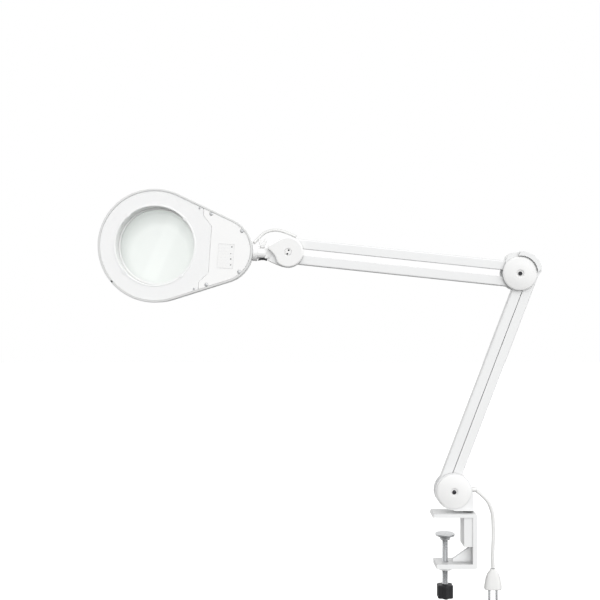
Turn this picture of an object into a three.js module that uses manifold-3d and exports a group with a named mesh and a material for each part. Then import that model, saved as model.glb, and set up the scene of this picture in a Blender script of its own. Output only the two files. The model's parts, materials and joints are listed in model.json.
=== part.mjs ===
// Magnifying lamp with a table clamp, in millimetres, +Z up.
// Origin: on the clamp screw's axis, at the level of the table top (underside of the clamp's top jaw).
// +X runs from the lamp head back towards the elbow, +Y away from the face that the lens shows.
import * as THREE from 'three';
import { mergeVertices } from 'three/addons/utils/BufferGeometryUtils.js';
import Module from 'manifold-3d';

const wasm = await Module();
wasm.setup();

// ---- driving dimensions ---------------------------------------------------------------------
const DEG = Math.PI / 180;
const GAP = 0.3; // between neighbouring pieces

// joint centres: the middle of each round cap
const PIN_X = 38; // the swivel pin's axis, which the arm turns about
const BASE = { x: PIN_X - 25.2, z: 40.9 };
const ELBOW = { x: PIN_X + 82.7, z: 398.5 };
const NECK = { x: PIN_X - 297, z: 433.5 };

// sprung arms: pairs of channel bars between pivots
const BAR_WIDTH = 15.5;
const BAR_DEPTH = 15;
const BAR_WALL = 1.2;
const PIVOT_R = 3;
const PIVOT_HOLE_R = PIVOT_R + GAP;
const LOWER_PAIR = { x: 22.95, z: 14.2 }; // from the left pivot to the right one, at both ends
const LOWER_BASE_MID = { x: BASE.x - 7.1, z: BASE.z + 14.6 };
const LOWER_TOP_MID = { x: ELBOW.x + 14.15, z: ELBOW.z - 5.3 };
const UPPER_PAIR = { x: 0, z: 27 }; // from the bottom pivot to the top one, at both ends
const UPPER_ELBOW_MID = { x: ELBOW.x - 19.15, z: ELBOW.z };
const UPPER_NECK_MID = { x: NECK.x + 12, z: NECK.z + 1.6 };

// bracket plates and caps either side of the bars
const PLATE_IN = 8.5;
const PLATE_OUT = 10.5;
const WEB_THICK = 2;
const CAP_FACE = PLATE_OUT + GAP;
const CAP_HEIGHT = 5.2;
const CAP_RIM = 1.6;
const CAP_WALL = 2;
const BOLT_R = 2.2;
const BOLT_HEAD_R = 3.4;
const BASE_PLATE_R = 32; // to the squared sides
const BASE_DISC_R = 30.3;
const ROUND_CAP_R = 28;
// guard beside each cap: its hollow, its front face, and the inner corners of its two slanted ends
const ELBOW_RIM = { inner: 28.5, shift: 0.9, front: 15.4, low: [29.2, 3.1], high: [-2.6, 29.3] };
const ELBOW_PLATE = { x: 1.9, z: 1.7, r: 34.5, from: 3 * DEG, to: 128 * DEG };
const ELBOW_BACK = { r: 27.4, from: 155 * DEG, to: 305 * DEG }; // the rest of the outline, behind the cap
const ELBOW_CORNER = { x: 20.5, z: -22 };
const NECK_PLATE_R = 25;
const NECK_TIP = { x: -33.1, z: 7.4 };
const NECK_CORNER = { x: -32.6, z: -13.2 }; // the bracket's lower corner, past the cap's hollow edge
const NECK_TANGENT = 248 * DEG; // where the corner's lower edge meets the round part

// clamp
const JAW = { left: PIN_X - 60.4, right: PIN_X + 11.7, halfWidth: 20, thick: 6 };
const CLAMP_OPENING = 76;
const LOWER_JAW_THICK = 8;
const SPINE_THICK = 7.2;
const PIN_R = 5.8;
const PIN_TOP = 30;
const PIN_BOTTOM = -44;
const BUSH_R = 7;
const BUSH_FLANGE_R = 9;
const PIN_SLEEVE = { half: 9.6, wide: 18.5 }; // squared housing round the pin, under the jaw
const SCREW_BOSS_R = 11;
const SCREW_R = 5;
const SCREW_NECK_R = 3.5; // turned-down ends inside the pad and the knob
const PAD_TOP = -30;
const PAD_THICK = 6;
const PAD_R = 16;
const KNOB_TOP = -114;
const KNOB_LENGTH = 22;
const KNOB_R = 14;

// head: a big circle round the lens drawn out to a smaller one over the neck
const LENS_CENTRE = { x: PIN_X - 514.6, z: 444 };
const HEAD_TILT = 4 * DEG;
const HEAD_R = 93;
const HEAD_TIP_R = 54.3;
const HEAD_TIP_AT = 105.8;
const HEAD_FRONT = -19; // underside of the rim
const HEAD_BACK = 19;
const SHELL_WALL = 2.4;
const SHELL_ROUND = 7; // bevel round the back edge
const TUBE_END = -14.8; // front end of the tube wall and screw posts
const SHEET_BACK = -15.2; // back of the diffuser and the driver cover
const DIFFUSER_FRONT = -17.4;
const COVER_FRONT = -18.6;
const RIM_LIP = 3.7;
const LENS_R = 63.5;
const LENS_EDGE = 3;
const LENS_MID_Y = 14.2;
const OPENING_R = 64.4;
const LED_RING = { inner: 68.5, outer: 84, y: 4, thick: 1.6 };
const COVER_EDGE = [[76, 90], [76, 54.5], [90.6, 38], [90.6, -38], [76, -54.5], [76, -90]];
const COVER_SCREWS = [[88.6, 58], [140.5, 33.4], [140.5, -33.4], [88.6, -58]];
const STEM_R = 5.7;
const COLLAR_R = 13;
const COLLAR_FROM = 157.5;
const COLLAR_TO = 167.6;
const LID_HINGE = { a: 73, y: 22.6 };
const LID_R = 67;
const LID_RIM_THICK = 1.8;
const LID_PIN_R = 1;
const SWITCH_AT = 116;

// round facets
const FINE = 28;
const MEDIUM = 16;
const SMALL = 10;

// ---- materials ------------------------------------------------------------------------------
function finish(color, roughness, metalness = 0) {
  return new THREE.MeshStandardMaterial({ color, roughness, metalness });
}

const whitePaint = finish(0xf2f3f3, 0.35);
const whitePlastic = finish(0xf6f6f5, 0.42);
const frosted = finish(0xeef0f0, 0.6);
const steel = finish(0xb9bcc0, 0.3, 0.9);
const darkSteel = finish(0x3a3b3d, 0.4, 0.8);
const black = finish(0x1b1c1e, 0.6);
const springSteel = finish(0x8f9398, 0.35, 0.9);
const cableWhite = finish(0xf1f1ef, 0.55);
const glass = finish(0xe6f2ec, 0.05);
const boardWhite = finish(0xe9ebe6, 0.5);
const boardGreen = finish(0x2f6b45, 0.55);

// ---- solid helpers --------------------------------------------------------------------------
function solid(geometry) {
  const g = geometry.clone();
  g.deleteAttribute('normal');
  g.deleteAttribute('uv');
  const merged = mergeVertices(g, 1e-4);
  const vertProperties = new Float32Array(merged.attributes.position.array);
  const triVerts = new Uint32Array(merged.index.array);
  return new wasm.Manifold(new wasm.Mesh({ numProp: 3, vertProperties, triVerts }));
}

function toGeometry(manifold) {
  const mesh = manifold.getMesh();
  const g = new THREE.BufferGeometry();
  g.setAttribute('position', new THREE.BufferAttribute(new Float32Array(mesh.vertProperties), 3));
  g.setIndex(new THREE.BufferAttribute(new Uint32Array(mesh.triVerts), 1));
  const flat = g.toNonIndexed();
  flat.computeVertexNormals();
  return flat;
}

const join = (first, ...rest) => rest.reduce((sum, g) => sum.add(solid(g)), solid(first));
const cut = (body, ...tools) => tools.reduce((left, g) => left.subtract(solid(g)), body);

function box(x0, x1, y0, y1, z0, z1) {
  const g = new THREE.BoxGeometry(x1 - x0, y1 - y0, z1 - z0);
  return g.translate((x0 + x1) / 2, (y0 + y1) / 2, (z0 + z1) / 2);
}

// a flat outline drawn in X and Z, given depth from y0 to y1
function plate(shape, y0, y1, bevel = null, curveSegments = 8) {
  const edge = bevel ? { bevelEnabled: true, ...bevel } : { bevelEnabled: false };
  const inset = bevel ? bevel.bevelThickness : 0;
  const g = new THREE.ExtrudeGeometry(shape, { depth: y1 - y0 - 2 * inset, curveSegments, ...edge });
  g.translate(0, 0, inset);
  return g.rotateX(Math.PI / 2).translate(0, y1, 0);
}

function rodY(radius, y0, y1, x = 0, z = 0, segments = MEDIUM) {
  const g = new THREE.CylinderGeometry(radius, radius, y1 - y0, segments);
  return g.translate(x, (y0 + y1) / 2, z);
}

function rodZ(radius, z0, z1, x = 0, y = 0, segments = MEDIUM) {
  const g = new THREE.CylinderGeometry(radius, radius, z1 - z0, segments);
  return g.rotateX(Math.PI / 2).translate(x, y, (z0 + z1) / 2);
}

function rodX(radius, x0, x1, y = 0, z = 0, segments = MEDIUM) {
  const g = new THREE.CylinderGeometry(radius, radius, x1 - x0, segments);
  return g.rotateZ(Math.PI / 2).translate((x0 + x1) / 2, y, z);
}

// a turned ring: profile points are [radius, height] and close on themselves; the axis is +Y
function turned(profile, segments = FINE) {
  const points = [...profile, profile[0]].map(([r, h]) => new THREE.Vector2(r, h));
  return new THREE.LatheGeometry(points, segments);
}

function polygon(points) {
  return new THREE.Shape(points.map(([x, z]) => new THREE.Vector2(x, z)));
}

function tube(points, radius, steps, radialSegments = 8) {
  const path = new THREE.CatmullRomCurve3(points.map(([x, y, z]) => new THREE.Vector3(x, y, z)));
  const ring = new THREE.Shape();
  for (let i = 0; i < radialSegments; i++) {
    const turn = (2 * Math.PI * i) / radialSegments;
    const at = [radius * Math.cos(turn), radius * Math.sin(turn)];
    if (i === 0) ring.moveTo(...at);
    else ring.lineTo(...at);
  }
  return new THREE.ExtrudeGeometry(ring, { steps, extrudePath: path, bevelEnabled: false });
}

// ---- scene helpers --------------------------------------------------------------------------
const lamp = new THREE.Group();

function groupAt(parent, x, y, z, turnY = 0) {
  const g = new THREE.Group();
  g.position.set(x, y, z);
  g.rotation.y = turnY;
  parent.add(g);
  return g;
}

function place(group, name, shape, material) {
  const geometry = shape.isBufferGeometry ? shape : toGeometry(shape);
  const mesh = new THREE.Mesh(geometry, material);
  mesh.name = name;
  group.add(mesh);
  return mesh;
}

// ---- shared pieces: caps, bolts, pivots -----------------------------------------------------
// thin dome with a centre boss for its bolt; side -1 faces the front, +1 the rear
function roundCap(radius, side) {
  const wall = 1.8;
  const bolt = BOLT_R + GAP;
  const flat = 6.5;
  const profile = [
    [bolt, 0], [5, 0], [5, CAP_HEIGHT - CAP_WALL - 1], [radius * 0.72, CAP_HEIGHT - CAP_WALL - 1],
    [radius - wall, 0], [radius, 0], [radius, CAP_RIM], [radius * 0.84, CAP_HEIGHT * 0.75],
    [flat, CAP_HEIGHT], [flat - 1.5, CAP_HEIGHT - 1.2], [bolt, CAP_HEIGHT - 1.2],
  ];
  const g = turned(profile, FINE);
  if (side < 0) g.rotateX(Math.PI);
  return solid(g).translate([0, side * CAP_FACE, 0]);
}

const CAP_SEAT = CAP_FACE + CAP_HEIGHT - 1.2;

function capBolt() {
  const head = rodY(BOLT_HEAD_R, -CAP_SEAT - GAP - 2, -CAP_SEAT - GAP, 0, 0, SMALL);
  const socket = rodY(1.7, -CAP_SEAT - GAP - 3, -CAP_SEAT - GAP - 0.9, 0, 0, 6);
  return cut(join(head, rodY(BOLT_R, -CAP_SEAT - GAP - 1, CAP_SEAT + 2, 0, 0, SMALL)), socket);
}

function capNut() {
  const body = rodY(3.8, CAP_SEAT + GAP, CAP_SEAT + GAP + 2.6, 0, 0, 6);
  return cut(solid(body), rodY(BOLT_R + GAP, CAP_SEAT - 1, CAP_SEAT + 5, 0, 0, SMALL));
}

const pivotPin = (x, z) => rodY(PIVOT_R, -PLATE_OUT, PLATE_OUT, x, z, SMALL);

// ---- clamp ----------------------------------------------------------------------------------
function clampFrame() {
  const w = JAW.halfWidth;
  const lowTop = -CLAMP_OPENING;
  const lowBottom = lowTop - LOWER_JAW_THICK;
  const side = new THREE.Shape();
  side.moveTo(JAW.left, 0);
  side.lineTo(JAW.left + 2, JAW.thick);
  side.lineTo(JAW.right - 3, JAW.thick);
  side.absarc(JAW.right - 3, JAW.thick - 3, 3, Math.PI / 2, 0, true);
  side.lineTo(JAW.right, lowBottom + 4);
  side.absarc(JAW.right - 4, lowBottom + 4, 4, 0, -Math.PI / 2, true);
  side.lineTo(JAW.left + 6, lowBottom);
  side.lineTo(JAW.left + 6, lowTop);
  side.lineTo(JAW.right - SPINE_THICK, lowTop);
  side.lineTo(JAW.right - SPINE_THICK, 0);
  side.closePath();
  const rib = polygon([
    [JAW.right - SPINE_THICK + 1, lowTop + 26], [JAW.right - SPINE_THICK + 1, lowTop - 1],
    [12, lowTop - 1], [12, lowTop + 4],
  ]);
  const body = join(
    plate(side, -w, w, null, 3),
    plate(rib, -3, 3),
    box(PIN_X - PIN_SLEEVE.half, PIN_X + PIN_SLEEVE.half, -PIN_SLEEVE.wide, PIN_SLEEVE.wide, PIN_BOTTOM - 4, 1),
    rodZ(SCREW_BOSS_R, lowBottom - 5, lowTop - 1),
  );
  return cut(
    body,
    rodZ(BUSH_R + GAP, PIN_BOTTOM - 6, JAW.thick + 1, PIN_X),
    rodZ(SCREW_R + GAP, lowBottom - 8, lowTop + 1),
  );
}

function swivelBush() {
  const bottom = PIN_BOTTOM - 3;
  const top = JAW.thick + 1.6;
  const profile = [
    [PIN_R + GAP, bottom], [BUSH_R, bottom], [BUSH_R, JAW.thick + GAP],
    [BUSH_FLANGE_R, JAW.thick + GAP], [BUSH_FLANGE_R, top], [PIN_R + GAP, top],
  ];
  return turned(profile, MEDIUM).rotateX(Math.PI / 2).translate(PIN_X, 0, 0);
}

function clampScrew() {
  const padBottom = PAD_TOP - PAD_THICK;
  return join(
    rodZ(SCREW_R, KNOB_TOP + 1, padBottom - 5, 0, 0, 16),
    rodZ(SCREW_NECK_R, padBottom - 6, PAD_TOP - 3.5, 0, 0, SMALL),
    rodZ(SCREW_NECK_R, KNOB_TOP - KNOB_LENGTH + 6, KNOB_TOP + 2, 0, 0, SMALL),
  );
}

function clampPad() {
  const bottom = PAD_TOP - PAD_THICK;
  const profile = [
    [0, PAD_TOP], [PAD_R, PAD_TOP], [PAD_R, PAD_TOP - 3], [8, bottom], [8, bottom - 4],
    [SCREW_NECK_R + GAP, bottom - 4], [SCREW_NECK_R + GAP, PAD_TOP - 3.2], [0, PAD_TOP - 3.2],
  ];
  const points = profile.map(([r, h]) => new THREE.Vector2(r, h)).reverse();
  return new THREE.LatheGeometry(points, MEDIUM).rotateX(Math.PI / 2);
}

function clampKnob() {
  const bottom = KNOB_TOP - KNOB_LENGTH;
  const lobes = 6;
  const corners = lobes * 4;
  const outline = new THREE.Shape();
  for (let i = 0; i < corners; i++) {
    const turn = (2 * Math.PI * i) / corners;
    const r = KNOB_R - 1.4 * (1 + Math.cos(lobes * turn));
    if (i === 0) outline.moveTo(r * Math.cos(turn), r * Math.sin(turn));
    else outline.lineTo(r * Math.cos(turn), r * Math.sin(turn));
  }
  const grip = new THREE.ExtrudeGeometry(outline, { depth: KNOB_LENGTH, bevelEnabled: false });
  grip.translate(0, 0, bottom);
  return cut(solid(grip), rodZ(SCREW_NECK_R + GAP, bottom + 5, KNOB_TOP + 1, 0, 0, SMALL));
}

// ---- base bracket ---------------------------------------------------------------------------
const PIN_BOSS_R = 7.4;
const BRACKET_BOTTOM = -BASE_PLATE_R; // from the base centre
const CORD_Z = 1.5; // from the base centre
const CORD_R = 2.75;
const PLUG = { x: 66.4, top: -129, length: 34, pinLength: 20 }; // from the base centre

// the bracket's outline round the base centre: a disc squared off over the swivel pin
function baseOutline() {
  const s = new THREE.Shape();
  s.moveTo(0, BRACKET_BOTTOM);
  s.lineTo(BASE_PLATE_R, BRACKET_BOTTOM);
  s.lineTo(BASE_PLATE_R, -4);
  s.absarc(0, 0, BASE_DISC_R, 0, 1.5 * Math.PI, false);
  s.closePath();
  return s;
}

function baseBracket() {
  const pinX = PIN_X - BASE.x;
  const left = local(LOWER_BASE_MID, LOWER_PAIR, -0.5, BASE);
  const right = local(LOWER_BASE_MID, LOWER_PAIR, 0.5, BASE);
  const inside = box(-60, BASE_PLATE_R - WEB_THICK, -PLATE_IN, PLATE_IN, BRACKET_BOTTOM + WEB_THICK, 60);
  const above = box(0, 60, -PLATE_IN, PLATE_IN, 7, 60);
  const shell = cut(solid(plate(baseOutline(), -PLATE_OUT, PLATE_OUT)), inside, above);
  const withBoss = shell.add(solid(rodZ(PIN_BOSS_R, BRACKET_BOTTOM, -4, pinX)));
  return cut(
    withBoss,
    rodZ(PIN_R + GAP, BRACKET_BOTTOM - 1, -3, pinX),
    rodY(PIVOT_HOLE_R, -20, 20, left.x, left.z, SMALL),
    rodY(PIVOT_HOLE_R, -20, 20, right.x, right.z, SMALL),
    rodY(BOLT_R + GAP, -20, 20, 0, 0, SMALL),
    rodX(CORD_R + 0.55, BASE_PLATE_R - 6, BASE_PLATE_R + 3, 0, CORD_Z, SMALL),
  );
}

function powerCord() {
  const cord = [
    [BASE_PLATE_R - 5, 0, CORD_Z], [BASE_PLATE_R + 4, 0, CORD_Z - 0.6], [44.8, 0, -5.1],
    [57.2, 0, -17.5], [63.8, 0, -32.3], [66.3, 0, -46], [67, 0, -75], [66, 0, -105],
    [PLUG.x, 0, PLUG.top + 1],
  ];
  return tube(cord, CORD_R, 24, 8);
}

function powerPlug() {
  const top = PLUG.top - GAP;
  const end = top - PLUG.length;
  const body = new THREE.CylinderGeometry(6, 9.5, PLUG.length, SMALL).rotateX(Math.PI / 2);
  body.scale(1.5, 0.8, 1).translate(PLUG.x, 0, (top + end) / 2);
  const pins = [-6, 6].map((x) => rodZ(2, end + 1 - PLUG.pinLength, end + 1, PLUG.x + x, 0, 8));
  return join(body, ...pins);
}

// ---- sprung arms ----------------------------------------------------------------------------
// a pivot of a pair: the middle plus a share of the pair vector, measured from an origin
function local(mid, pair, share, origin = { x: 0, z: 0 }) {
  return { x: mid.x + pair.x * share - origin.x, z: mid.z + pair.z * share - origin.z };
}

// a folded channel between two pivots on local X; open is the side (+1 or -1) that faces its partner
function channelBar(length, open) {
  const r = BAR_WIDTH / 2;
  const outline = new THREE.Shape();
  outline.moveTo(0, -r);
  outline.lineTo(length, -r);
  outline.absarc(length, 0, r, -Math.PI / 2, Math.PI / 2, false);
  outline.lineTo(0, r);
  outline.absarc(0, 0, r, Math.PI / 2, 1.5 * Math.PI, false);
  const half = BAR_DEPTH / 2;
  const inner = half - BAR_WALL;
  const webIn = r - BAR_WALL;
  const pocket = open > 0 ? [-webIn, r + 1] : [-r - 1, webIn];
  return cut(
    solid(plate(outline, -half, half, null, 5)),
    box(-r - 1, length + r + 1, -inner, inner, ...pocket),
    rodY(PIVOT_HOLE_R, -half - 1, half + 1, 0, 0, SMALL),
    rodY(PIVOT_HOLE_R, -half - 1, half + 1, length, 0, SMALL),
  );
}

const SPRING_R = 3.4;

// tension spring as a plain sleeve lying against the web of its channel
function springSleeve(from, to, open) {
  const profile = [[2.2, from], [SPRING_R, from], [SPRING_R, to], [2.2, to]];
  const g = turned(profile, SMALL).rotateZ(-Math.PI / 2);
  return g.translate(0, 0, -open * 2.9);
}

const CABLE_R = 2.5;

const barCable = (from, to, open) => rodX(CABLE_R, from, to, 0, open * 4.4, 8);

// ---- elbow ----------------------------------------------------------------------------------
function elbowOutline() {
  const { x, z, r, from, to } = ELBOW_PLATE;
  const s = new THREE.Shape();
  s.moveTo(ELBOW_CORNER.x, ELBOW_CORNER.z);
  s.absarc(x, z, r, from, to, false);
  s.absarc(0, 0, ELBOW_BACK.r, ELBOW_BACK.from, ELBOW_BACK.to, false);
  s.closePath();
  return s;
}

// wedge of free space where the bars swing, leaving the bracket's curved web between two angles
function swingSpace(cx, cz, webFrom, webTo) {
  const reach = 60;
  const points = [[cx, cz]];
  const sweep = 360 - (webTo - webFrom);
  const steps = 8;
  for (let i = 0; i <= steps; i++) {
    const turn = (webTo + (sweep * i) / steps) * DEG;
    points.push([cx + reach * Math.cos(turn), cz + reach * Math.sin(turn)]);
  }
  return polygon(points);
}

// raised guard that stands round part of a cap; side -1 faces the front, +1 the rear
function elbowRim(side) {
  const { inner, shift, front, low, high } = ELBOW_RIM;
  const lowSlant = [low[0] + 33, low[1] + 23];
  const highSlant = [high[0] + 15, high[1] + 26];
  const beyond = polygon([[0, 0], low, lowSlant, [62, -60], [-60, -60], [-60, 60], highSlant, high]);
  const stock = solid(plate(elbowOutline(), PLATE_OUT - 0.5, front, null, 12));
  const guard = cut(
    stock,
    rodY(inner, 0, front + 1, shift, shift, FINE),
    plate(beyond, 0, front + 1),
  );
  return side > 0 ? guard : guard.mirror([0, 1, 0]);
}

function elbowBracket() {
  const { x, z, r } = ELBOW_PLATE;
  const holes = [
    local(LOWER_TOP_MID, LOWER_PAIR, -0.5, ELBOW),
    local(LOWER_TOP_MID, LOWER_PAIR, 0.5, ELBOW),
    local(UPPER_ELBOW_MID, UPPER_PAIR, -0.5, ELBOW),
    local(UPPER_ELBOW_MID, UPPER_PAIR, 0.5, ELBOW),
  ];
  const stock = solid(plate(elbowOutline(), -PLATE_OUT, PLATE_OUT, null, 12));
  return cut(
    stock.add(elbowRim(-1)).add(elbowRim(1)),
    rodY(r - WEB_THICK, -PLATE_IN, PLATE_IN, x, z, FINE),
    plate(swingSpace(x, z, 35, 95), -PLATE_IN, PLATE_IN),
    ...holes.map((h) => rodY(PIVOT_HOLE_R, -20, 20, h.x, h.z, SMALL)),
    rodY(BOLT_R + GAP, -20, 20, 0, 0, SMALL),
  );
}

// ---- neck bracket at the head end of the arm ------------------------------------------------
// teardrop round the tilt axis, its point towards the head and its lower edge hollowed
function neckOutline(inset = 0) {
  const r = NECK_PLATE_R - inset;
  const tip = { x: NECK_TIP.x + 2 * inset, z: NECK_TIP.z - 0.2 * inset };
  const half = 3;
  const top = 112 * DEG;
  const low = 222 * DEG;
  const s = new THREE.Shape();
  s.moveTo(tip.x, tip.z + half);
  s.lineTo(r * Math.cos(top), r * Math.sin(top));
  s.absarc(0, 0, r, top, low - 2 * Math.PI, true);
  s.quadraticCurveTo(-21 + inset, -3.5, tip.x, tip.z - half);
  return s;
}

function neckBracketOutline() {
  const s = new THREE.Shape();
  s.moveTo(NECK_TIP.x, NECK_TIP.z + 3);
  s.absarc(0, 0, NECK_PLATE_R, 112 * DEG, NECK_TANGENT - 2 * Math.PI, true);
  s.lineTo(NECK_CORNER.x, NECK_CORNER.z);
  s.closePath();
  return s;
}

function neckBracket() {
  const pivots = [0.5, -0.5].map((share) => local(UPPER_NECK_MID, UPPER_PAIR, share, NECK));
  const open = [
    box(-60, 60, -PLATE_IN, PLATE_IN, -60, 22.4),
    box(-60, -3, -PLATE_IN, PLATE_IN, 20, 60),
    box(6, 60, -PLATE_IN, PLATE_IN, 20, 60),
  ];
  return cut(
    solid(plate(neckBracketOutline(), -PLATE_OUT, PLATE_OUT, null, 9)),
    ...open,
    ...pivots.map((p) => rodY(PIVOT_HOLE_R, -20, 20, p.x, p.z, SMALL)),
    rodY(BOLT_R + GAP, -20, 20, 0, 0, SMALL),
  );
}

function neckCap(side) {
  const round = { bevelThickness: 2.4, bevelSize: 2.4, bevelOffset: -2.4, bevelSegments: 2 };
  const outer = plate(neckOutline(), CAP_FACE - 2.4, CAP_FACE + CAP_HEIGHT, round, 8);
  const hollow = plate(neckOutline(3.2), CAP_FACE - 1, CAP_FACE + 2, null, 6);
  const boss = rodY(5, CAP_FACE, CAP_FACE + 3, 0, 0, SMALL);
  let cap = cut(solid(outer), box(-60, 60, 0, CAP_FACE, -60, 60), hollow).add(solid(boss));
  cap = cut(cap, rodY(BOLT_R + GAP, 5, 30, 0, 0, SMALL), rodY(5, CAP_SEAT, 30, 0, 0, SMALL));
  return side > 0 ? cap : cap.mirror([0, 1, 0]);
}

// ---- knuckle between the neck bracket and the head ------------------------------------------
const BARREL_R = 9;
const BARREL_FROM = 168.2; // along the head axis from the lens centre
const BARREL_TO = 181.5;
const TONGUE_R = 8.5;
const TONGUE_HALF = 7.7;
const WING_AT = 174.5;
const WING_R = 2.6;

// moves a shape drawn along the head axis into the frame of the neck centre
function fromHeadAxis(geometry) {
  geometry.rotateY(HEAD_TILT);
  return geometry.translate(LENS_CENTRE.x - NECK.x, 0, LENS_CENTRE.z - NECK.z);
}

function tiltKnuckle() {
  const tongue = new THREE.Shape();
  tongue.moveTo(-38, -10.3);
  tongue.lineTo(-28, -9);
  tongue.lineTo(0, -TONGUE_R);
  tongue.absarc(0, 0, TONGUE_R, -Math.PI / 2, Math.PI / 2, false);
  tongue.lineTo(-28, TONGUE_R - 1);
  tongue.lineTo(-38, 6.6);
  const body = join(
    plate(tongue, -TONGUE_HALF, TONGUE_HALF, null, 8),
    fromHeadAxis(rodX(BARREL_R, BARREL_FROM, BARREL_TO)),
  );
  return cut(
    body,
    fromHeadAxis(rodX(STEM_R + GAP, BARREL_FROM - 1, BARREL_TO - 1.5)),
    fromHeadAxis(rodZ(WING_R + GAP, 0, 12, WING_AT, 0, SMALL)),
    rodY(BOLT_R + GAP, -20, 20, 0, 0, SMALL),
  );
}

function wingScrew() {
  const blade = polygon([[-3, 11.5], [3, 11.5], [6.8, 15], [6.5, 24.5], [-6.5, 24.5], [-6.8, 15]]);
  const parts = join(
    rodZ(WING_R, 6.6, 11, 0, 0, SMALL),
    rodZ(4.2, 9.6, 13, 0, 0, SMALL),
    plate(blade, -1.7, 1.7),
  );
  return parts.translate([WING_AT, 0, 0]);
}

// dark nylon shoe that follows the underside of the knuckle's barrel
function knucklePad() {
  const s = new THREE.Shape();
  s.absarc(0, 0, BARREL_R + 0.4, -125 * DEG, -55 * DEG, false);
  s.absarc(0, 0, BARREL_R + 3.2, -55 * DEG, -125 * DEG, true);
  s.closePath();
  const g = new THREE.ExtrudeGeometry(s, { depth: 11, bevelEnabled: false, curveSegments: 8 });
  // the drawn X and Y become the head's Y and Z, and the depth runs along the head axis
  g.applyMatrix4(new THREE.Matrix4().set(0, 0, 1, 169.4, 1, 0, 0, 0, 0, 1, 0, 0, 0, 0, 0, 1));
  return fromHeadAxis(g);
}

// ---- head -----------------------------------------------------------------------------------
// two circles and their common tangents, shrunk by an inset
function headOutline(inset = 0) {
  const lean = Math.asin((HEAD_R - HEAD_TIP_R) / HEAD_TIP_AT);
  const meet = Math.PI / 2 - lean;
  const s = new THREE.Shape();
  s.absarc(0, 0, HEAD_R - inset, meet, 2 * Math.PI - meet, false);
  s.absarc(HEAD_TIP_AT, 0, HEAD_TIP_R - inset, -meet, meet, false);
  s.closePath();
  return s;
}

function headShell() {
  const edge = SHELL_ROUND;
  const round = { bevelThickness: edge, bevelSize: edge, bevelOffset: -edge, bevelSegments: 2 };
  const outer = plate(headOutline(), HEAD_FRONT - edge, HEAD_BACK, round, 12);
  const inner = plate(headOutline(SHELL_WALL + 0.6), HEAD_FRONT - 8, HEAD_BACK - SHELL_WALL, null, 12);
  const tubeWall = turned([
    [OPENING_R - 0.2, TUBE_END], [OPENING_R + 2, TUBE_END], [OPENING_R + 2, HEAD_BACK - 1],
    [OPENING_R - 0.2, HEAD_BACK - 1],
  ], FINE);
  const posts = COVER_SCREWS.map(([a, b]) => rodY(3.6, TUBE_END, HEAD_BACK - 1, a, b, 8));
  const ledPostR = (LED_RING.inner + LED_RING.outer) / 2;
  const ledPostFrom = LED_RING.y + LED_RING.thick + GAP;
  const ledPosts = [45, 135, 225, 315].map((turn) => {
    const a = ledPostR * Math.cos(turn * DEG);
    const b = ledPostR * Math.sin(turn * DEG);
    return rodY(3, ledPostFrom, HEAD_BACK - 1, a, b, 8);
  });
  const lugAt = LID_HINGE.a;
  const lug = polygon([[lugAt - 3, 18.5], [lugAt + 3, 18.5], [lugAt + 2, 25], [lugAt - 2, 25]]);
  const lugs = [-12, 12].map((b) => {
    const g = new THREE.ExtrudeGeometry(lug, { depth: 3, bevelEnabled: false });
    return g.translate(0, 0, b - 1.5);
  });
  let shell = cut(solid(outer), inner, box(-120, 180, -40, HEAD_FRONT, -120, 120));
  shell = [tubeWall, ...posts, ...ledPosts, ...lugs].reduce((sum, g) => sum.add(solid(g)), shell);
  return cut(
    shell,
    rodY(LENS_R - 2.3, 10, 30, 0, 0, FINE),
    rodX(STEM_R + GAP, 140, 170),
    box(SWITCH_AT - 8.6, SWITCH_AT + 8.6, 12, 25, -5.8, 5.8),
    rodZ(LID_PIN_R + GAP, -16, 16, LID_HINGE.a, LID_HINGE.y, 8),
    ...COVER_SCREWS.map(([a, b]) => rodY(1.7, -20, 2, a, b, 8)),
  );
}

// the side of the parting line that holds the lens, or the side over the driver
function partingShape(keepLens, shift) {
  const far = keepLens ? -120 : 200;
  const line = COVER_EDGE.map(([a, b]) => [a + shift, b]);
  return polygon([...line, [far, -90], [far, 90]]);
}

function diffuser() {
  const sheet = solid(plate(headOutline(RIM_LIP), DIFFUSER_FRONT, SHEET_BACK, null, 12));
  const side = solid(plate(partingShape(true, -GAP), -30, 0));
  return cut(sheet.intersect(side), rodY(OPENING_R, -30, 0, 0, 0, FINE));
}

function driverCover() {
  const sheet = solid(plate(headOutline(RIM_LIP), COVER_FRONT, SHEET_BACK, null, 12));
  const side = solid(plate(partingShape(false, GAP), -30, 0));
  return cut(sheet.intersect(side), ...COVER_SCREWS.map(([a, b]) => rodY(1.8, -30, 0, a, b, 8)));
}

const coverScrew = () => join(rodY(2.8, -20, -18.9, 0, 0, 10), rodY(1.35, -19, -6, 0, 0, 8));

function lensSolid() {
  const mid = LENS_MID_Y;
  const bulge = 4;
  const half = LENS_EDGE / 2;
  const steps = 3;
  const profile = [];
  for (let i = 0; i <= steps; i++) {
    const r = (LENS_R * i) / steps;
    profile.push([r, mid - half - bulge * (1 - (i / steps) ** 2)]);
  }
  for (let i = steps; i >= 0; i--) {
    const r = (LENS_R * i) / steps;
    profile.push([r, mid + half + bulge * (1 - (i / steps) ** 2)]);
  }
  return new THREE.LatheGeometry(profile.map(([r, h]) => new THREE.Vector2(r, h)), FINE);
}

function lensRing() {
  const y = LENS_MID_Y - LENS_EDGE / 2 - GAP;
  return turned([[60.8, y - 3.5], [OPENING_R - 0.7, y - 3.5], [OPENING_R - 0.7, y], [62, y]], FINE);
}

function ledBoard() {
  const { inner, outer, y, thick } = LED_RING;
  return turned([[inner, y], [outer, y], [outer, y + thick], [inner, y + thick]], FINE);
}

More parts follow.
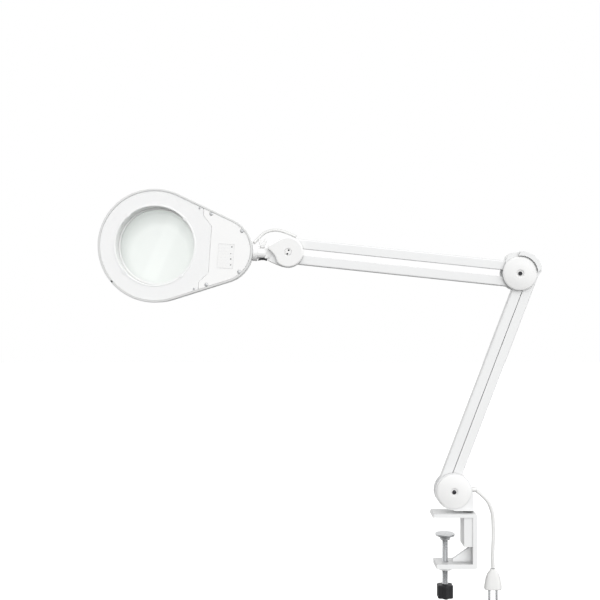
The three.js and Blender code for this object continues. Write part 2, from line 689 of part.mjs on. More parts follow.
function driverBoard() {
  return join(
    box(96, 138, 2, 3.6, -24, 24),
    box(100, 116, -8, 2.2, -20, -4),
    rodY(5, -9, 2.2, 126, -14, SMALL),
    box(104, 112, -4, 2.2, 6, 18),
    rodY(4, -7, 2.2, 126, 10, SMALL),
  );
}

function headStem() {
  const collar = rodX(COLLAR_R, COLLAR_FROM, COLLAR_TO, 0, 0, FINE);
  const seat = plate(headOutline(-0.4), -40, 40, null, 12);
  return cut(solid(collar), seat).add(solid(rodX(STEM_R, 148, 179)));
}

function lensLid() {
  const back = HEAD_BACK + 0.7;
  const rim = back + LID_RIM_THICK;
  const dish = new THREE.LatheGeometry([
    [0, 24.3], [40, 23.6], [LID_R - 4, back + 0.8], [LID_R - 4, back], [LID_R, back],
    [LID_R, rim], [42, rim + 4.2], [0, rim + 4.9],
  ].map(([r, h]) => new THREE.Vector2(r, h)), FINE);
  const tab = box(LID_R - 5, LID_HINGE.a, back + 0.4, back + 2, -9, 9);
  const lid = join(dish, tab, rodZ(2.6, -9, 9, LID_HINGE.a, LID_HINGE.y, 10));
  return cut(lid, rodZ(LID_PIN_R + GAP, -16, 16, LID_HINGE.a, LID_HINGE.y, 8));
}

function rockerSwitch() {
  const s = polygon([[-7.5, 20.3], [0, 19.6], [7.5, 21.6], [7, 15.5], [2, 13], [-2, 13], [-7, 15.5]]);
  const g = new THREE.ExtrudeGeometry(s, { depth: 10.4, bevelEnabled: false });
  return g.translate(SWITCH_AT, 0, -5.2);
}

// leaves the head beside the collar, arches behind the wing screw and comes down on the top bar
function headCable() {
  const points = [
    [-56.4, 2, 15.9], [-54.4, 4, 18.5], [-49.7, 6, 23.3], [-39.8, 6, 32.6], [-26.6, 4, 37.1],
    [-13.4, 2, 36.6], [-0.2, 0, 32.4], [13, 0, 26.4],
  ]; // from the neck centre
  return tube(points, CABLE_R, 18, 8);
}

// ---- assembly -------------------------------------------------------------------------------
function addClamp() {
  place(lamp, 'clamp_frame', clampFrame(), whitePaint);
  place(lamp, 'swivel_bush', swivelBush(), black);
  place(lamp, 'clamp_screw', clampScrew(), steel);
  place(lamp, 'clamp_knob', clampKnob(), black);
  place(lamp, 'clamp_pad', clampPad(), steel);
}

function addBase() {
  const base = groupAt(lamp, BASE.x, 0, BASE.z);
  const pivots = [-0.5, 0.5].map((share) => local(LOWER_BASE_MID, LOWER_PAIR, share, BASE));
  place(lamp, 'swivel_pin', rodZ(PIN_R, PIN_BOTTOM, PIN_TOP, PIN_X), steel);
  place(base, 'base_bracket', baseBracket(), whitePaint);
  place(base, 'base_cap_front', roundCap(ROUND_CAP_R, -1), whitePlastic);
  place(base, 'base_cap_rear', roundCap(ROUND_CAP_R, 1), whitePlastic);
  place(base, 'base_bolt', capBolt(), darkSteel);
  place(base, 'base_nut', capNut(), darkSteel);
  place(base, 'base_pivot_left', pivotPin(pivots[0].x, pivots[0].z), steel);
  place(base, 'base_pivot_right', pivotPin(pivots[1].x, pivots[1].z), steel);
  place(base, 'power_cord', powerCord(), cableWhite);
  place(base, 'power_plug', powerPlug(), cableWhite);
}

// one bar with its spring, in a frame whose X runs from its first pivot to its second
function addBar(name, springName, from, to, open) {
  const dx = to.x - from.x;
  const dz = to.z - from.z;
  const length = Math.hypot(dx, dz);
  const frame = groupAt(lamp, from.x, 0, from.z, Math.atan2(-dz, dx));
  place(frame, name, channelBar(length, open), whitePaint);
  place(frame, springName, springSleeve(24, length * 0.62, open), springSteel);
  return { frame, length };
}

function addLowerArm() {
  const ends = [-0.5, 0.5].map((share) => [
    local(LOWER_BASE_MID, LOWER_PAIR, share),
    local(LOWER_TOP_MID, LOWER_PAIR, share),
  ]);
  addBar('lower_bar_left', 'lower_spring_left', ...ends[0], -1);
  const right = addBar('lower_bar_right', 'lower_spring_right', ...ends[1], 1);
  place(right.frame, 'lower_arm_cable', barCable(10, right.length - 10, 1), cableWhite);
}

function addUpperArm() {
  const ends = [0.5, -0.5].map((share) => [
    local(UPPER_NECK_MID, UPPER_PAIR, share),
    local(UPPER_ELBOW_MID, UPPER_PAIR, share),
  ]);
  const top = addBar('upper_bar_top', 'upper_spring_top', ...ends[0], -1);
  addBar('upper_bar_bottom', 'upper_spring_bottom', ...ends[1], 1);
  place(top.frame, 'upper_arm_cable', barCable(14, top.length - 30, -1), cableWhite);
}

function addElbow() {
  const elbow = groupAt(lamp, ELBOW.x, 0, ELBOW.z);
  place(elbow, 'elbow_bracket', elbowBracket(), whitePaint);
  place(elbow, 'elbow_cap_front', roundCap(ROUND_CAP_R, -1), whitePlastic);
  place(elbow, 'elbow_cap_rear', roundCap(ROUND_CAP_R, 1), whitePlastic);
  place(elbow, 'elbow_bolt', capBolt(), darkSteel);
  place(elbow, 'elbow_nut', capNut(), darkSteel);
  const pins = [
    ['elbow_pivot_lower_left', LOWER_TOP_MID, LOWER_PAIR, -0.5],
    ['elbow_pivot_lower_right', LOWER_TOP_MID, LOWER_PAIR, 0.5],
    ['elbow_pivot_upper_bottom', UPPER_ELBOW_MID, UPPER_PAIR, -0.5],
    ['elbow_pivot_upper_top', UPPER_ELBOW_MID, UPPER_PAIR, 0.5],
  ];
  for (const [name, mid, pair, share] of pins) {
    const at = local(mid, pair, share, ELBOW);
    place(elbow, name, pivotPin(at.x, at.z), steel);
  }
}

function addNeck() {
  const neck = groupAt(lamp, NECK.x, 0, NECK.z);
  const pivots = [0.5, -0.5].map((share) => local(UPPER_NECK_MID, UPPER_PAIR, share, NECK));
  place(neck, 'head_bracket', neckBracket(), whitePaint);
  place(neck, 'head_cap_front', neckCap(-1), whitePlastic);
  place(neck, 'head_cap_rear', neckCap(1), whitePlastic);
  place(neck, 'tilt_bolt', capBolt(), darkSteel);
  place(neck, 'tilt_nut', capNut(), darkSteel);
  place(neck, 'head_pivot_top', pivotPin(pivots[0].x, pivots[0].z), steel);
  place(neck, 'head_pivot_bottom', pivotPin(pivots[1].x, pivots[1].z), steel);
  place(neck, 'tilt_knuckle', tiltKnuckle(), whitePaint);
  place(neck, 'knuckle_pad', knucklePad(), black);
  place(neck, 'head_cable', headCable(), cableWhite);
}

function addHead() {
  const head = groupAt(lamp, LENS_CENTRE.x, 0, LENS_CENTRE.z, HEAD_TILT);
  place(head, 'wing_screw', wingScrew(), whitePlastic);
  place(head, 'head_stem', headStem(), whitePaint);
  place(head, 'head_shell', headShell(), whitePlastic);
  place(head, 'diffuser', diffuser(), frosted);
  place(head, 'driver_cover', driverCover(), whitePlastic);
  place(head, 'lens', lensSolid(), glass);
  place(head, 'lens_ring', lensRing(), whitePlastic);
  place(head, 'led_board', ledBoard(), boardWhite);
  place(head, 'driver_board', driverBoard(), boardGreen);
  COVER_SCREWS.forEach(([a, b], i) => {
    const mesh = place(head, `cover_screw_${i + 1}`, coverScrew(), steel);
    mesh.position.set(a, 0, b);
  });
  place(head, 'lens_lid', lensLid(), whitePlastic);
  place(head, 'lid_pin', rodZ(LID_PIN_R, -13.8, 13.8, LID_HINGE.a, LID_HINGE.y, 8), steel);
  place(head, 'rocker_switch', rockerSwitch(), black);
}

addClamp();
addBase();
addLowerArm();
addElbow();
addUpperArm();
addNeck();
addHead();

export default lamp;
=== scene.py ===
# The looks of the magnifying lamp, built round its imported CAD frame. Metres, +Z up.
import json
import math

import bmesh
import bpy
from mathutils import Matrix, Vector


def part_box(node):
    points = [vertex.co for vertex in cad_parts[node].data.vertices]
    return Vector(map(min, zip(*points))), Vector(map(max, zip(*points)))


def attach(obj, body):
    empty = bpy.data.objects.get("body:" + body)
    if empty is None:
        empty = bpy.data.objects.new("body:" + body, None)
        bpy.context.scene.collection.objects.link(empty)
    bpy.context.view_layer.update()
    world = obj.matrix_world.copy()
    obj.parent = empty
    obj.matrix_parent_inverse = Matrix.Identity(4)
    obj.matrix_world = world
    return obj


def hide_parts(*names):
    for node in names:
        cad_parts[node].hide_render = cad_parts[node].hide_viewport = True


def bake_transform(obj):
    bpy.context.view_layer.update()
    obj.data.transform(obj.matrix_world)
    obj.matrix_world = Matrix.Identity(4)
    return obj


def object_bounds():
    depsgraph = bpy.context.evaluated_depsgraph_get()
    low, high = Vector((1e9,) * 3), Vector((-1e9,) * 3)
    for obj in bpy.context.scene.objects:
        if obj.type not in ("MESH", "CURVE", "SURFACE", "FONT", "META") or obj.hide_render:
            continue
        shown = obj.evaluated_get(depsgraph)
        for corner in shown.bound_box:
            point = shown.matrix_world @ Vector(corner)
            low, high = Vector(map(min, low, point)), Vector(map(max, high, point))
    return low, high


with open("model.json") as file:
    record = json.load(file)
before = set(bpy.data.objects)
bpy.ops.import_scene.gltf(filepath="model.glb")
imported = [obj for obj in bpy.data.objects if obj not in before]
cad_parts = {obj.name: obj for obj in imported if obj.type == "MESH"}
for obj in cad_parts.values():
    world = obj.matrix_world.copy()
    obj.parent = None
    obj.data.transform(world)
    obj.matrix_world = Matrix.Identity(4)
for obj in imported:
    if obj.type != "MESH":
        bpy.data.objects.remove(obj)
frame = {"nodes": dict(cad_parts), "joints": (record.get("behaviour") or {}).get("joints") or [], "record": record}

CAD_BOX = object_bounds()
MM = 0.001
FAR = 1.0  # further than any part of the lamp reaches from its lens
NODES = frame["nodes"]
JOINTS = {j["name"]: j for j in frame["joints"]}
DEPTH = Vector((0, 1, 0))  # away from the camera
SIDES = (("front", -1), ("rear", 1))  # of the arm's plane


def mm(*points):
    """Points given in millimetres, as metres."""
    return [tuple(v * MM for v in p) for p in points]


# ---- places, all from the frame ----
def joint_at(name):
    return Vector(JOINTS[name]["pos_m"])


def middle(node):
    low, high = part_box(node)
    return (low + high) / 2


def flat(point):
    """The same place in the arm's own plane, Y = 0."""
    return Vector((point.x, 0, point.z))


BASE = flat(middle("base_cap_front"))
ELBOW = flat(middle("elbow_cap_front"))
NECK = flat(joint_at("head_tilt"))
LOWER_BASE = [joint_at("lower_fold"), joint_at("lower_fold_right")]
LOWER_TOP = [joint_at("elbow_level"), joint_at("elbow_level") + LOWER_BASE[1] - LOWER_BASE[0]]
UPPER_ELBOW = [joint_at("upper_fold"), joint_at("upper_fold_bottom")]
UPPER_NECK = [joint_at("head_level"), joint_at("head_level") + UPPER_ELBOW[1] - UPPER_ELBOW[0]]
LENS = flat(middle("lens"))
HEAD_X = Vector(JOINTS["head_roll"]["axis"]).normalized()  # from the lens towards the neck
HEAD_Z = -Vector(JOINTS["lid_open"]["axis"]).normalized()


def axes(origin, x, y, z):
    """A frame at a point, from its three unit directions."""
    place = Matrix((x, y, z)).transposed().to_4x4()
    place.translation = origin
    return place


IN_PLANE = Matrix.Identity(4)
HEAD = axes(LENS, HEAD_X, DEPTH, HEAD_Z)
# local frames whose Y axis, which turned() and slab() work along, points elsewhere
ALONG_X = Matrix(((0, 1, 0, 0), (1, 0, 0, 0), (0, 0, -1, 0), (0, 0, 0, 1)))
ALONG_Z = Matrix(((1, 0, 0, 0), (0, 0, -1, 0), (0, 1, 0, 0), (0, 0, 0, 1)))
SWAP_YZ = Matrix(((1, 0, 0, 0), (0, 0, 1, 0), (0, 1, 0, 0), (0, 0, 0, 1)))


# ---- mesh helpers ----
SAME_POINT = 1e-7


def link(name, mesh):
    obj = bpy.data.objects.new(name, mesh)
    bpy.context.scene.collection.objects.link(obj)
    return obj


def make_object(name, verts, faces, matrix=IN_PLANE):
    """A clean, shaded mesh object from local points and faces."""
    mesh = bpy.data.meshes.new(name)
    mesh.from_pydata([matrix @ Vector(v) for v in verts], [], faces)
    obj = link(name, mesh)
    bm = bmesh.new()
    bm.from_mesh(mesh)
    bmesh.ops.remove_doubles(bm, verts=bm.verts, dist=SAME_POINT)
    bmesh.ops.recalc_face_normals(bm, faces=bm.faces)
    bm.to_mesh(mesh)
    bm.free()
    return shade(obj)


def shade(obj, angle=32):
    """Smooth shading that keeps edges sharper than an angle in degrees."""
    bm = bmesh.new()
    bm.from_mesh(obj.data)
    limit = math.radians(angle)
    for face in bm.faces:
        face.smooth = True
    for edge in bm.edges:
        edge.smooth = len(edge.link_faces) == 2 and edge.calc_face_angle(0) < limit
    bm.to_mesh(obj.data)
    bm.free()
    return obj


NEAR_HALF = 0.49  # how much of a side a rounded corner may take


def soften(profile, steps=4, closed=True):
    """Rounds the corners of a 2-D profile. Each entry is (u, v) or (u, v, radius)."""
    out = []
    count = len(profile)
    for i, entry in enumerate(profile):
        p = Vector(entry[:2])
        radius = entry[2] if len(entry) > 2 else 0
        is_end = not closed and i in (0, count - 1)
        if radius <= 0 or is_end:
            out.append(p)
            continue
        before = Vector(profile[i - 1][:2]) - p
        after = Vector(profile[(i + 1) % count][:2]) - p
        reach = min(radius, before.length * NEAR_HALF, after.length * NEAR_HALF)
        a = p + before.normalized() * reach
        b = p + after.normalized() * reach
        for k in range(steps + 1):
            t = k / steps
            out.append(a * (1 - t) ** 2 + p * (2 * t * (1 - t)) + b * t ** 2)
    return out


def loft(name, rings, matrix=IN_PLANE, closed=False):
    """Joins rings of equally many points, in order. A ring of one point is a pole.

    A closed loft joins its last ring to its first; an open one has a face at each end.
    """
    verts, loops = [], []
    for ring in rings:
        loops.append(range(len(verts), len(verts) + len(ring)))
        verts.extend(ring)
    faces = []
    for one, other in zip(loops, loops[1:] + loops[:1] * closed):
        for k in range(max(len(one), len(other))):
            after = k + 1
            face = [one[k], one[after % len(one)]] if len(one) > 1 else [one[0]]
            face += [other[after % len(other)], other[k]] if len(other) > 1 else [other[0]]
            faces.append(face)
    if not closed:
        faces += [list(loop) for loop in (loops[0], loops[-1]) if len(loop) > 2]
    return make_object(name, verts, faces, matrix)


def full_turn(count):
    return [2 * math.pi * k / count for k in range(count)]


def circle(radius, y, count):
    if radius < SAME_POINT:
        return [(0, y, 0)]
    return [(radius * math.cos(t), y, radius * math.sin(t)) for t in full_turn(count)]


def turned(name, profile, matrix=IN_PLANE, segments=72, closed=True, steps=4):
    """Turns a (radius, y) profile round the local Y axis."""
    points = soften(profile, steps, closed)
    return loft(name, [circle(r, y, segments) for r, y in points], matrix, closed=closed)


def rod(name, radius, start, end, matrix, segments=32):
    """A plain round bar along the local Y axis, for cutting holes."""
    profile = [(0, start), (radius, start), (radius, end), (0, end)]
    return turned(name, profile, matrix, segments, closed=False)


SHARPEST = 0.35  # keeps an inset corner from shooting far inwards


def offset(outline, inset):
    """Moves a closed outline of (x, z) points inwards; the outline runs anticlockwise."""
    out = []
    count = len(outline)
    for i, p in enumerate(outline):
        into = (Vector(p) - Vector(outline[i - 1])).normalized()
        away = (Vector(outline[(i + 1) % count]) - Vector(p)).normalized()
        left = Vector((-into.y, into.x))
        normal = left + Vector((-away.y, away.x))
        if normal.length < SAME_POINT:
            normal = left
        normal.normalize()
        stretch = max(SHARPEST, normal.dot(left))
        out.append(Vector(p) + normal * (inset / stretch))
    return out


def slab(name, outline, y0, y1, edge, matrix=IN_PLANE, steps=4):
    """A plate with the given (x, z) outline between two depths, with rounded edges."""
    turns = [math.pi / 2 * k / steps for k in range(steps + 1)]
    levels = [(edge * (1 - math.sin(t)), y0 + edge * (1 - math.cos(t))) for t in turns]
    levels += [(edge * (1 - math.cos(t)), y1 - edge * (1 - math.sin(t))) for t in turns]
    rings = []
    for inset, y in levels:
        rings.append([(p.x, y, p.y) for p in offset(outline, inset)])
    return loft(name, rings, matrix)


def arc(cx, cz, radius, start, end, steps):
    turns = [math.radians(start + (end - start) * k / steps) for k in range(steps + 1)]
    return [(cx + radius * math.cos(t), cz + radius * math.sin(t)) for t in turns]


def smooth_path(points, per_span=8):
    """Catmull-Rom curve through 3-D points."""
    points = [2 * points[0] - points[1], *points, 2 * points[-1] - points[-2]]
    out = []
    for i in range(1, len(points) - 2):
        a, b, c, d = points[i - 1:i + 3]
        for k in range(per_span):
            t = k / per_span
            out.append(0.5 * (2 * b + (c - a) * t + (2 * a - 5 * b + 4 * c - d) * t ** 2
                              + (3 * b - a - 3 * c + d) * t ** 3))
    out.append(points[-2])
    return out


def tube(name, path, r, segments=16, round_ends=True):
    """A round cable of radius r along a path."""
    rings = []
    side = None
    count = len(path)
    for i, p in enumerate(path):
        ahead = (path[min(i + 1, count - 1)] - path[max(i - 1, 0)]).normalized()
        if side is None:
            side = ahead.orthogonal().normalized()
        side = (side - ahead * side.dot(ahead)).normalized()
        other = ahead.cross(side)
        ring = []
        for t in full_turn(segments):
            ring.append(p + side * (r * math.cos(t)) + other * (r * math.sin(t)))
        rings.append(ring)
        if round_ends and i in (0, count - 1):
            outwards = -ahead if i == 0 else ahead
            small = [p + (q - p) * 0.7 + outwards * r * 0.3 for q in ring]
            rings.insert(0 if i == 0 else len(rings), small)
    return loft(name, rings)


def box(name, x0, x1, y0, y1, z0, z1, edge, matrix=IN_PLANE):
    outline = [(x0, z0), (x1, z0), (x1, z1), (x0, z1)]
    corners = soften([(x, z, edge) for x, z in outline], 3)
    return slab(name, corners, y0, y1, edge * 0.6, matrix, 3)


def merge(name, objects):
    """Joins objects into one mesh object."""
    bm = bmesh.new()
    for o in objects:
        bm.from_mesh(o.data)
        bpy.data.objects.remove(o)
    mesh = bpy.data.meshes.new(name)
    bm.to_mesh(mesh)
    bm.free()
    return link(name, mesh)


def carve(obj, cutters, operation="DIFFERENCE"):
    """Cuts (or joins) solids and keeps one clean mesh."""
    for cutter in cutters:
        mod = obj.modifiers.new("cut", "BOOLEAN")
        mod.operation = operation
        mod.solver = "EXACT"
        mod.object = cutter
    bpy.context.view_layer.update()
    done = bpy.data.meshes.new_from_object(obj.evaluated_get(bpy.context.evaluated_depsgraph_get()))
    obj.modifiers.clear()
    obj.data = done
    for cutter in cutters:
        bpy.data.objects.remove(cutter)
    return shade(obj)


# ---- materials ----
class Graph:
    """A node tree, with short names for the nodes that the materials and the studio use."""

    MIX_FACTOR, MIX_A, MIX_B, MIX_RESULT = 0, 6, 7, 2  # sockets of a Mix node that mixes colours

    def __init__(self, tree):
        self.tree = tree

    @property
    def principled(self):
        return self.tree.nodes["Principled BSDF"]

    def feed(self, socket, value):
        """Links a socket to another node's output, or sets it to a number, vector or colour."""
        if hasattr(value, "links"):
            self.tree.links.new(value, socket)
        elif socket.type == "RGBA":
            socket.default_value = (*value, 1)
        else:
            socket.default_value = value

    def node(self, kind, inputs, **settings):
        made = self.tree.nodes.new("ShaderNode" + kind)
        for key, value in settings.items():
            setattr(made, key, value)
        for socket, value in inputs.items():
            self.feed(made.inputs[socket], value)
        return made

    def output(self, kind, name):
        return self.node(kind, {}).outputs[name]

    def noise(self, coords, scale, detail):
        return self.node("TexNoise", {"Vector": coords, "Scale": scale, "Detail": detail}).outputs["Fac"]

    def remap(self, value, low, high, from_low=0.3, from_high=0.7, **settings):
        inputs = {"Value": value, "From Min": from_low, "From Max": from_high, "To Min": low, "To Max": high}
        return self.node("MapRange", inputs, **settings).outputs["Result"]

    def mix(self, factor, a, b):
        inputs = {self.MIX_FACTOR: factor, self.MIX_A: a, self.MIX_B: b}
        return self.node("Mix", inputs, data_type="RGBA").outputs[self.MIX_RESULT]

    def calc(self, operation, a, b):
        return self.node("Math", {0: a, 1: b}, operation=operation).outputs["Value"]

    def compare(self, operation, a, b):
        return self.node("VectorMath", {0: a, 1: b}, operation=operation).outputs["Value"]

    def show_mix(self, factor, a, b):
        """Shows one shader mixed with another."""
        mixed = self.node("MixShader", {0: factor, 1: a.outputs["BSDF"], 2: b.outputs["BSDF"]})
        self.feed(self.tree.nodes["Material Output"].inputs["Surface"], mixed.outputs["Shader"])

    def print_over(self, factor, color):
        """Lays a colour over the one that the surface has."""
        base = self.principled.inputs["Base Color"]
        self.feed(base, self.mix(factor, base.links[0].from_socket, color))


MATERIALS = {}  # by name, filled as they are made


def new_material(name):
    mat = bpy.data.materials.new(name)
    mat.use_nodes = True
    MATERIALS[name] = mat
    return mat, Graph(mat.node_tree)


def scaled(color, factor, lift=0.0):
    return tuple(min(1.0, c * factor + lift) for c in color)


ROUGH_VARY = 0.08
CORNER_REACH = 4 * MM
EDGE_WIDTH = 0.9 * MM
GRAIN_DEPTH = 0.2 * MM


def painted_corner_shade(graph, tint, color, amount):
    """Paints shade into narrow corners and gaps, where little light reaches."""
    occlusion = graph.node("AmbientOcclusion", {"Distance": CORNER_REACH}, samples=6)
    shadow = graph.remap(occlusion.outputs["AO"], amount, 0.0, 0.35, 0.95)
    return graph.mix(shadow, tint, scaled(color, 0.45))


def worn_edges(graph, tint, color, coords, amount):
    """Rubs the outer edges a little brighter, in patches."""
    rounded = graph.node("Bevel", {"Radius": EDGE_WIDTH}, samples=4)
    bend = graph.compare("DOT_PRODUCT", rounded.outputs["Normal"], graph.output("NewGeometry", "Normal"))
    edge = graph.remap(bend, amount, 0.0, 0.9, 0.995)
    patch = graph.remap(graph.noise(coords, 160, 4), 0.0, 1.0, 0.42, 0.62)
    return graph.mix(graph.calc("MULTIPLY", edge, patch), tint, scaled(color, 1.06, 0.03))


def edge_shade(graph, tint, color, start, end, depth):
    """Paints shade where a surface turns away from the viewer, so its outline draws darker."""
    facing = graph.node("LayerWeight", {"Blend": 0.5}).outputs["Facing"]
    return graph.mix(graph.remap(facing, 0.0, depth, start, end), tint, scaled(color, 0.3))


def surface(name, color, roughness, metallic=0.0, grain=900.0, bump=0.15, vary=0.02, cavity=0.35,
            wear=0.0, stretch=(1, 1, 1), coat=0.0, specular=0.3, turned_away=(0.35, 0.95, 0.5)):
    """Moulded or painted surface: tint drift, uneven gloss, fine grain, painted shade in corners and at its
    outline, worn edges.
    """
    mat, graph = new_material(name)
    coords = graph.output("TexCoord", "Object")
    stretched = graph.node("Mapping", {"Vector": coords, "Scale": stretch}).outputs["Vector"]
    tint = graph.mix(graph.noise(stretched, 28, 4), scaled(color, 1 - vary), scaled(color, 1 + vary))
    tint = painted_corner_shade(graph, tint, color, cavity)
    if wear > 0:
        tint = worn_edges(graph, tint, color, coords, wear)
    gloss = graph.remap(graph.noise(stretched, 60, 5), roughness - ROUGH_VARY, roughness + ROUGH_VARY)
    height = graph.noise(stretched, grain, 2)
    relief = graph.node("Bump", {"Strength": bump, "Distance": GRAIN_DEPTH, "Height": height})
    for socket, value in {
        "Base Color": edge_shade(graph, tint, color, *turned_away), "Roughness": gloss,
        "Metallic": metallic, "Specular IOR Level": specular, "Coat Weight": coat,
        "Coat Roughness": 0.2, "Normal": relief.outputs["Normal"],
    }.items():
        graph.feed(graph.principled.inputs[socket], value)
    return mat


# Painted shade in the glass: it greys with distance from a point below its centre, between the two radii below
LENS_SHADE_LEAST_AT = Vector((4, 0, -13)) * MM  # the brightest place in the glass, from its centre
LENS_SHADE_START = 49 * MM
LENS_SHADE_END = 88 * MM


def glass_material():
    """Polished lens glass with a faint green body and painted shade that greys it away from a point below its
    centre; light for other surfaces passes straight through.
    """
    mat, graph = new_material("lens_glass")
    graph.tree.nodes.remove(graph.principled)
    coords = graph.output("TexCoord", "Object")
    body = graph.mix(graph.noise(coords, 9, 2), (0.972, 0.985, 0.977), (0.982, 0.991, 0.986))
    away = graph.compare("DISTANCE", coords, LENS + LENS_SHADE_LEAST_AT)
    # painted shade: mixes the glass towards grey with distance from that point
    tint = graph.mix(graph.remap(away, 0.0, 1.0, LENS_SHADE_START, LENS_SHADE_END), body, (0.8, 0.82, 0.81))
    haze = graph.remap(graph.noise(coords, 40, 3), 0.0, 0.012)
    glass = graph.node("BsdfGlass", {"Color": tint, "Roughness": haze, "IOR": 1.5})
    clear = graph.node("BsdfTransparent", {"Color": tint})
    rays = graph.node("LightPath", {}).outputs
    graph.show_mix(graph.calc("MAXIMUM", rays["Is Shadow Ray"], rays["Is Diffuse Ray"]), glass, clear)
    return mat


def thin_plastic():
    """Thin white moulding that lets some of the light behind it through."""
    mat = surface("white_plastic_thin", (0.9, 0.9, 0.895), 0.45, grain=2200, bump=0.1)
    graph = Graph(mat.node_tree)
    through = graph.node("BsdfTranslucent", {"Color": (0.975, 0.98, 0.975)})
    graph.show_mix(0.7, graph.principled, through)
    return mat


def label_material():
    """Plain rating plate: printed rows as faint bars, with no lettering."""
    mat = surface("label", (0.92, 0.92, 0.915), 0.5, grain=1200, bump=0.05, vary=0.01)
    graph = Graph(mat.node_tree)
    coords = graph.output("TexCoord", "Object")
    rows = graph.node("TexWave", {"Vector": coords, "Scale": 130, "Distortion": 0.4},
                      wave_type="BANDS", bands_direction="Z")
    lines = graph.remap(rows.outputs["Fac"], 0.0, 1.0, 0.5, 0.9)
    gaps = graph.remap(graph.noise(coords, 420, 2), 0.0, 0.16, 0.35, 0.6)
    graph.print_over(graph.calc("MULTIPLY", lines, gaps), (0.35, 0.35, 0.36))
    return mat


def frosted_material():
    """Opal sheet over the lights: milky, finely stippled, a little light let through."""
    mat = surface("frosted_diffuser", (0.935, 0.94, 0.94), 0.6, grain=2600, bump=0.3, vary=0.012,
                  cavity=0.1, specular=0.05, turned_away=(0.35, 0.95, 0.1))
    graph = Graph(mat.node_tree)
    cells = graph.node("TexVoronoi", {"Vector": graph.output("TexCoord", "Object"), "Scale": 260})
    graph.print_over(graph.remap(cells.outputs["Distance"], 0.35, 0.0, 0.1, 0.75), (0.96, 0.965, 0.96))
    graph.principled.inputs["Subsurface Weight"].default_value = 0.25
    graph.principled.inputs["Subsurface Radius"].default_value = (0.004, 0.004, 0.004)
    return mat


def plastic(name, color, roughness=0.4, **more):
    return surface(name, color, roughness, **{"grain": 2400, "bump": 0.12, "wear": 0.2, **more})


def build_materials():
    # turned_away sets where each material's painted shade at its outline starts and ends, and how deep it goes
    surface("white_paint", (0.86, 0.865, 0.865), 0.36, grain=1500, bump=0.22, wear=0.4, cavity=0.2,
            turned_away=(0.2, 0.6, 0.55))
    plastic("white_plastic", (0.885, 0.885, 0.88), wear=0.3, cavity=0.15, coat=0.05,
            turned_away=(0.35, 0.95, 0.2))
    plastic("white_plastic_housing", (0.87, 0.875, 0.87), 0.42, bump=0.14, cavity=0.1,
            turned_away=(0.3, 0.95, 0.15))
    plastic("white_plastic_cover", (0.93, 0.93, 0.925), 0.42, cavity=0.12, turned_away=(0.35, 0.95, 0.15))
    # strong painted shade at the outline, to draw the wing screw's edges grey
    plastic("white_plastic_shade_outlined", (0.88, 0.88, 0.875), grain=2200, turned_away=(0.1, 0.6, 0.7))
    # a darker copy of white plastic: painted shade for the head's rim
    plastic("white_plastic_rim_shade", (0.72, 0.725, 0.72), 0.5, grain=2000, bump=0.2, wear=0.0, cavity=0.1,
            specular=0.2, turned_away=(0.4, 0.95, 0.1))
    thin_plastic()
    frosted_material()
    glass_material()
    label_material()
    # a wide painted shade at the outline gives the cable grey edges and a white middle
    surface("white_cable", (0.82, 0.82, 0.81), 0.5, grain=1800, bump=0.2, vary=0.03,
            turned_away=(0.12, 0.7, 0.65))
    surface("black_plastic", (0.018, 0.018, 0.02), 0.5, grain=1900, bump=0.35, vary=0.2)
    surface("steel", (0.58, 0.59, 0.6), 0.3, 1.0, grain=500, bump=0.2, vary=0.06, stretch=(1, 1, 9))
    surface("dark_steel", (0.06, 0.06, 0.065), 0.38, 0.8, grain=700, bump=0.25, vary=0.15)
    surface("spring_steel", (0.42, 0.43, 0.45), 0.3, 1.0, grain=900, bump=0.15, vary=0.1)
    surface("circuit_board", (0.72, 0.76, 0.72), 0.42, grain=700, bump=0.2, vary=0.05)


# brighter copies of white plastic that paint light over the shaded sides of the knuckle and the stem
PAINTED_LIGHT_SKINS = {"tilt_knuckle": "white_plastic_cover", "head_stem": "white_plastic_cover"}  # than their slot


def dress(obj, slot, skin=None):
    """Shows a piece in the material named after its CAD slot, or in another skin."""
    obj.data.materials.clear()
    obj.data.materials.append(MATERIALS[skin or slot])


def even_normals(obj):
    """Large faces set the shading, so flat areas stay flat up to their rounded edges."""
    obj.modifiers.new("corners", "WEIGHTED_NORMAL").keep_sharp = True


def finish_piece(obj, slot, body, *stands_for, skin=None):
    """Material, body and the CAD nodes that the piece stands for."""
    dress(obj, slot, skin)
    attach(obj, body)
    even_normals(obj)
    if stands_for:
        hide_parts(*stands_for)


def dress_frame():
    """Every CAD node that stays in view: its material, and its edges eased a little."""
    slots = {s["node"]: s["material_slot"] for s in frame["record"]["subparts"]}
    for name, obj in NODES.items():
        obj.data.materials.clear()
        obj.data.materials.append(MATERIALS[PAINTED_LIGHT_SKINS.get(name, slots[name])])
        ease = obj.modifiers.new("ease", "BEVEL")
        ease.width = 0.5 * MM
        ease.segments = 2
        ease.limit_method = "ANGLE"
        ease.angle_limit = math.radians(40)
        for polygon in obj.data.polygons:
            polygon.use_smooth = True
        even_normals(obj)


# ---- round caps and their bolts ----
CAP_R = 28 * MM
CAP_BACK = 10.8 * MM
CAP_HIGH = 5.2 * MM
CAP_TOP = CAP_BACK + CAP_HIGH
CAP_SEAT = CAP_TOP - 1.2 * MM
DOME_FROM = 2.9 * MM


def side_matrix(centre, side):
    """Local Y runs outwards from the arm's plane: side -1 faces the front, +1 the rear."""
    return Matrix.Translation(centre) @ Matrix.Diagonal((1, side, 1, 1))


def dome_profile(steps=8):
    """From near the cap's edge up to the rim of the dish round the bolt."""
    points = []
    for k in range(steps + 1):
        share = k / steps
        rise = (CAP_HIGH - DOME_FROM) * math.sin(share * math.pi / 2)
        points.append((CAP_R * (0.93 - 0.66 * share), CAP_BACK + DOME_FROM + rise))
    return points


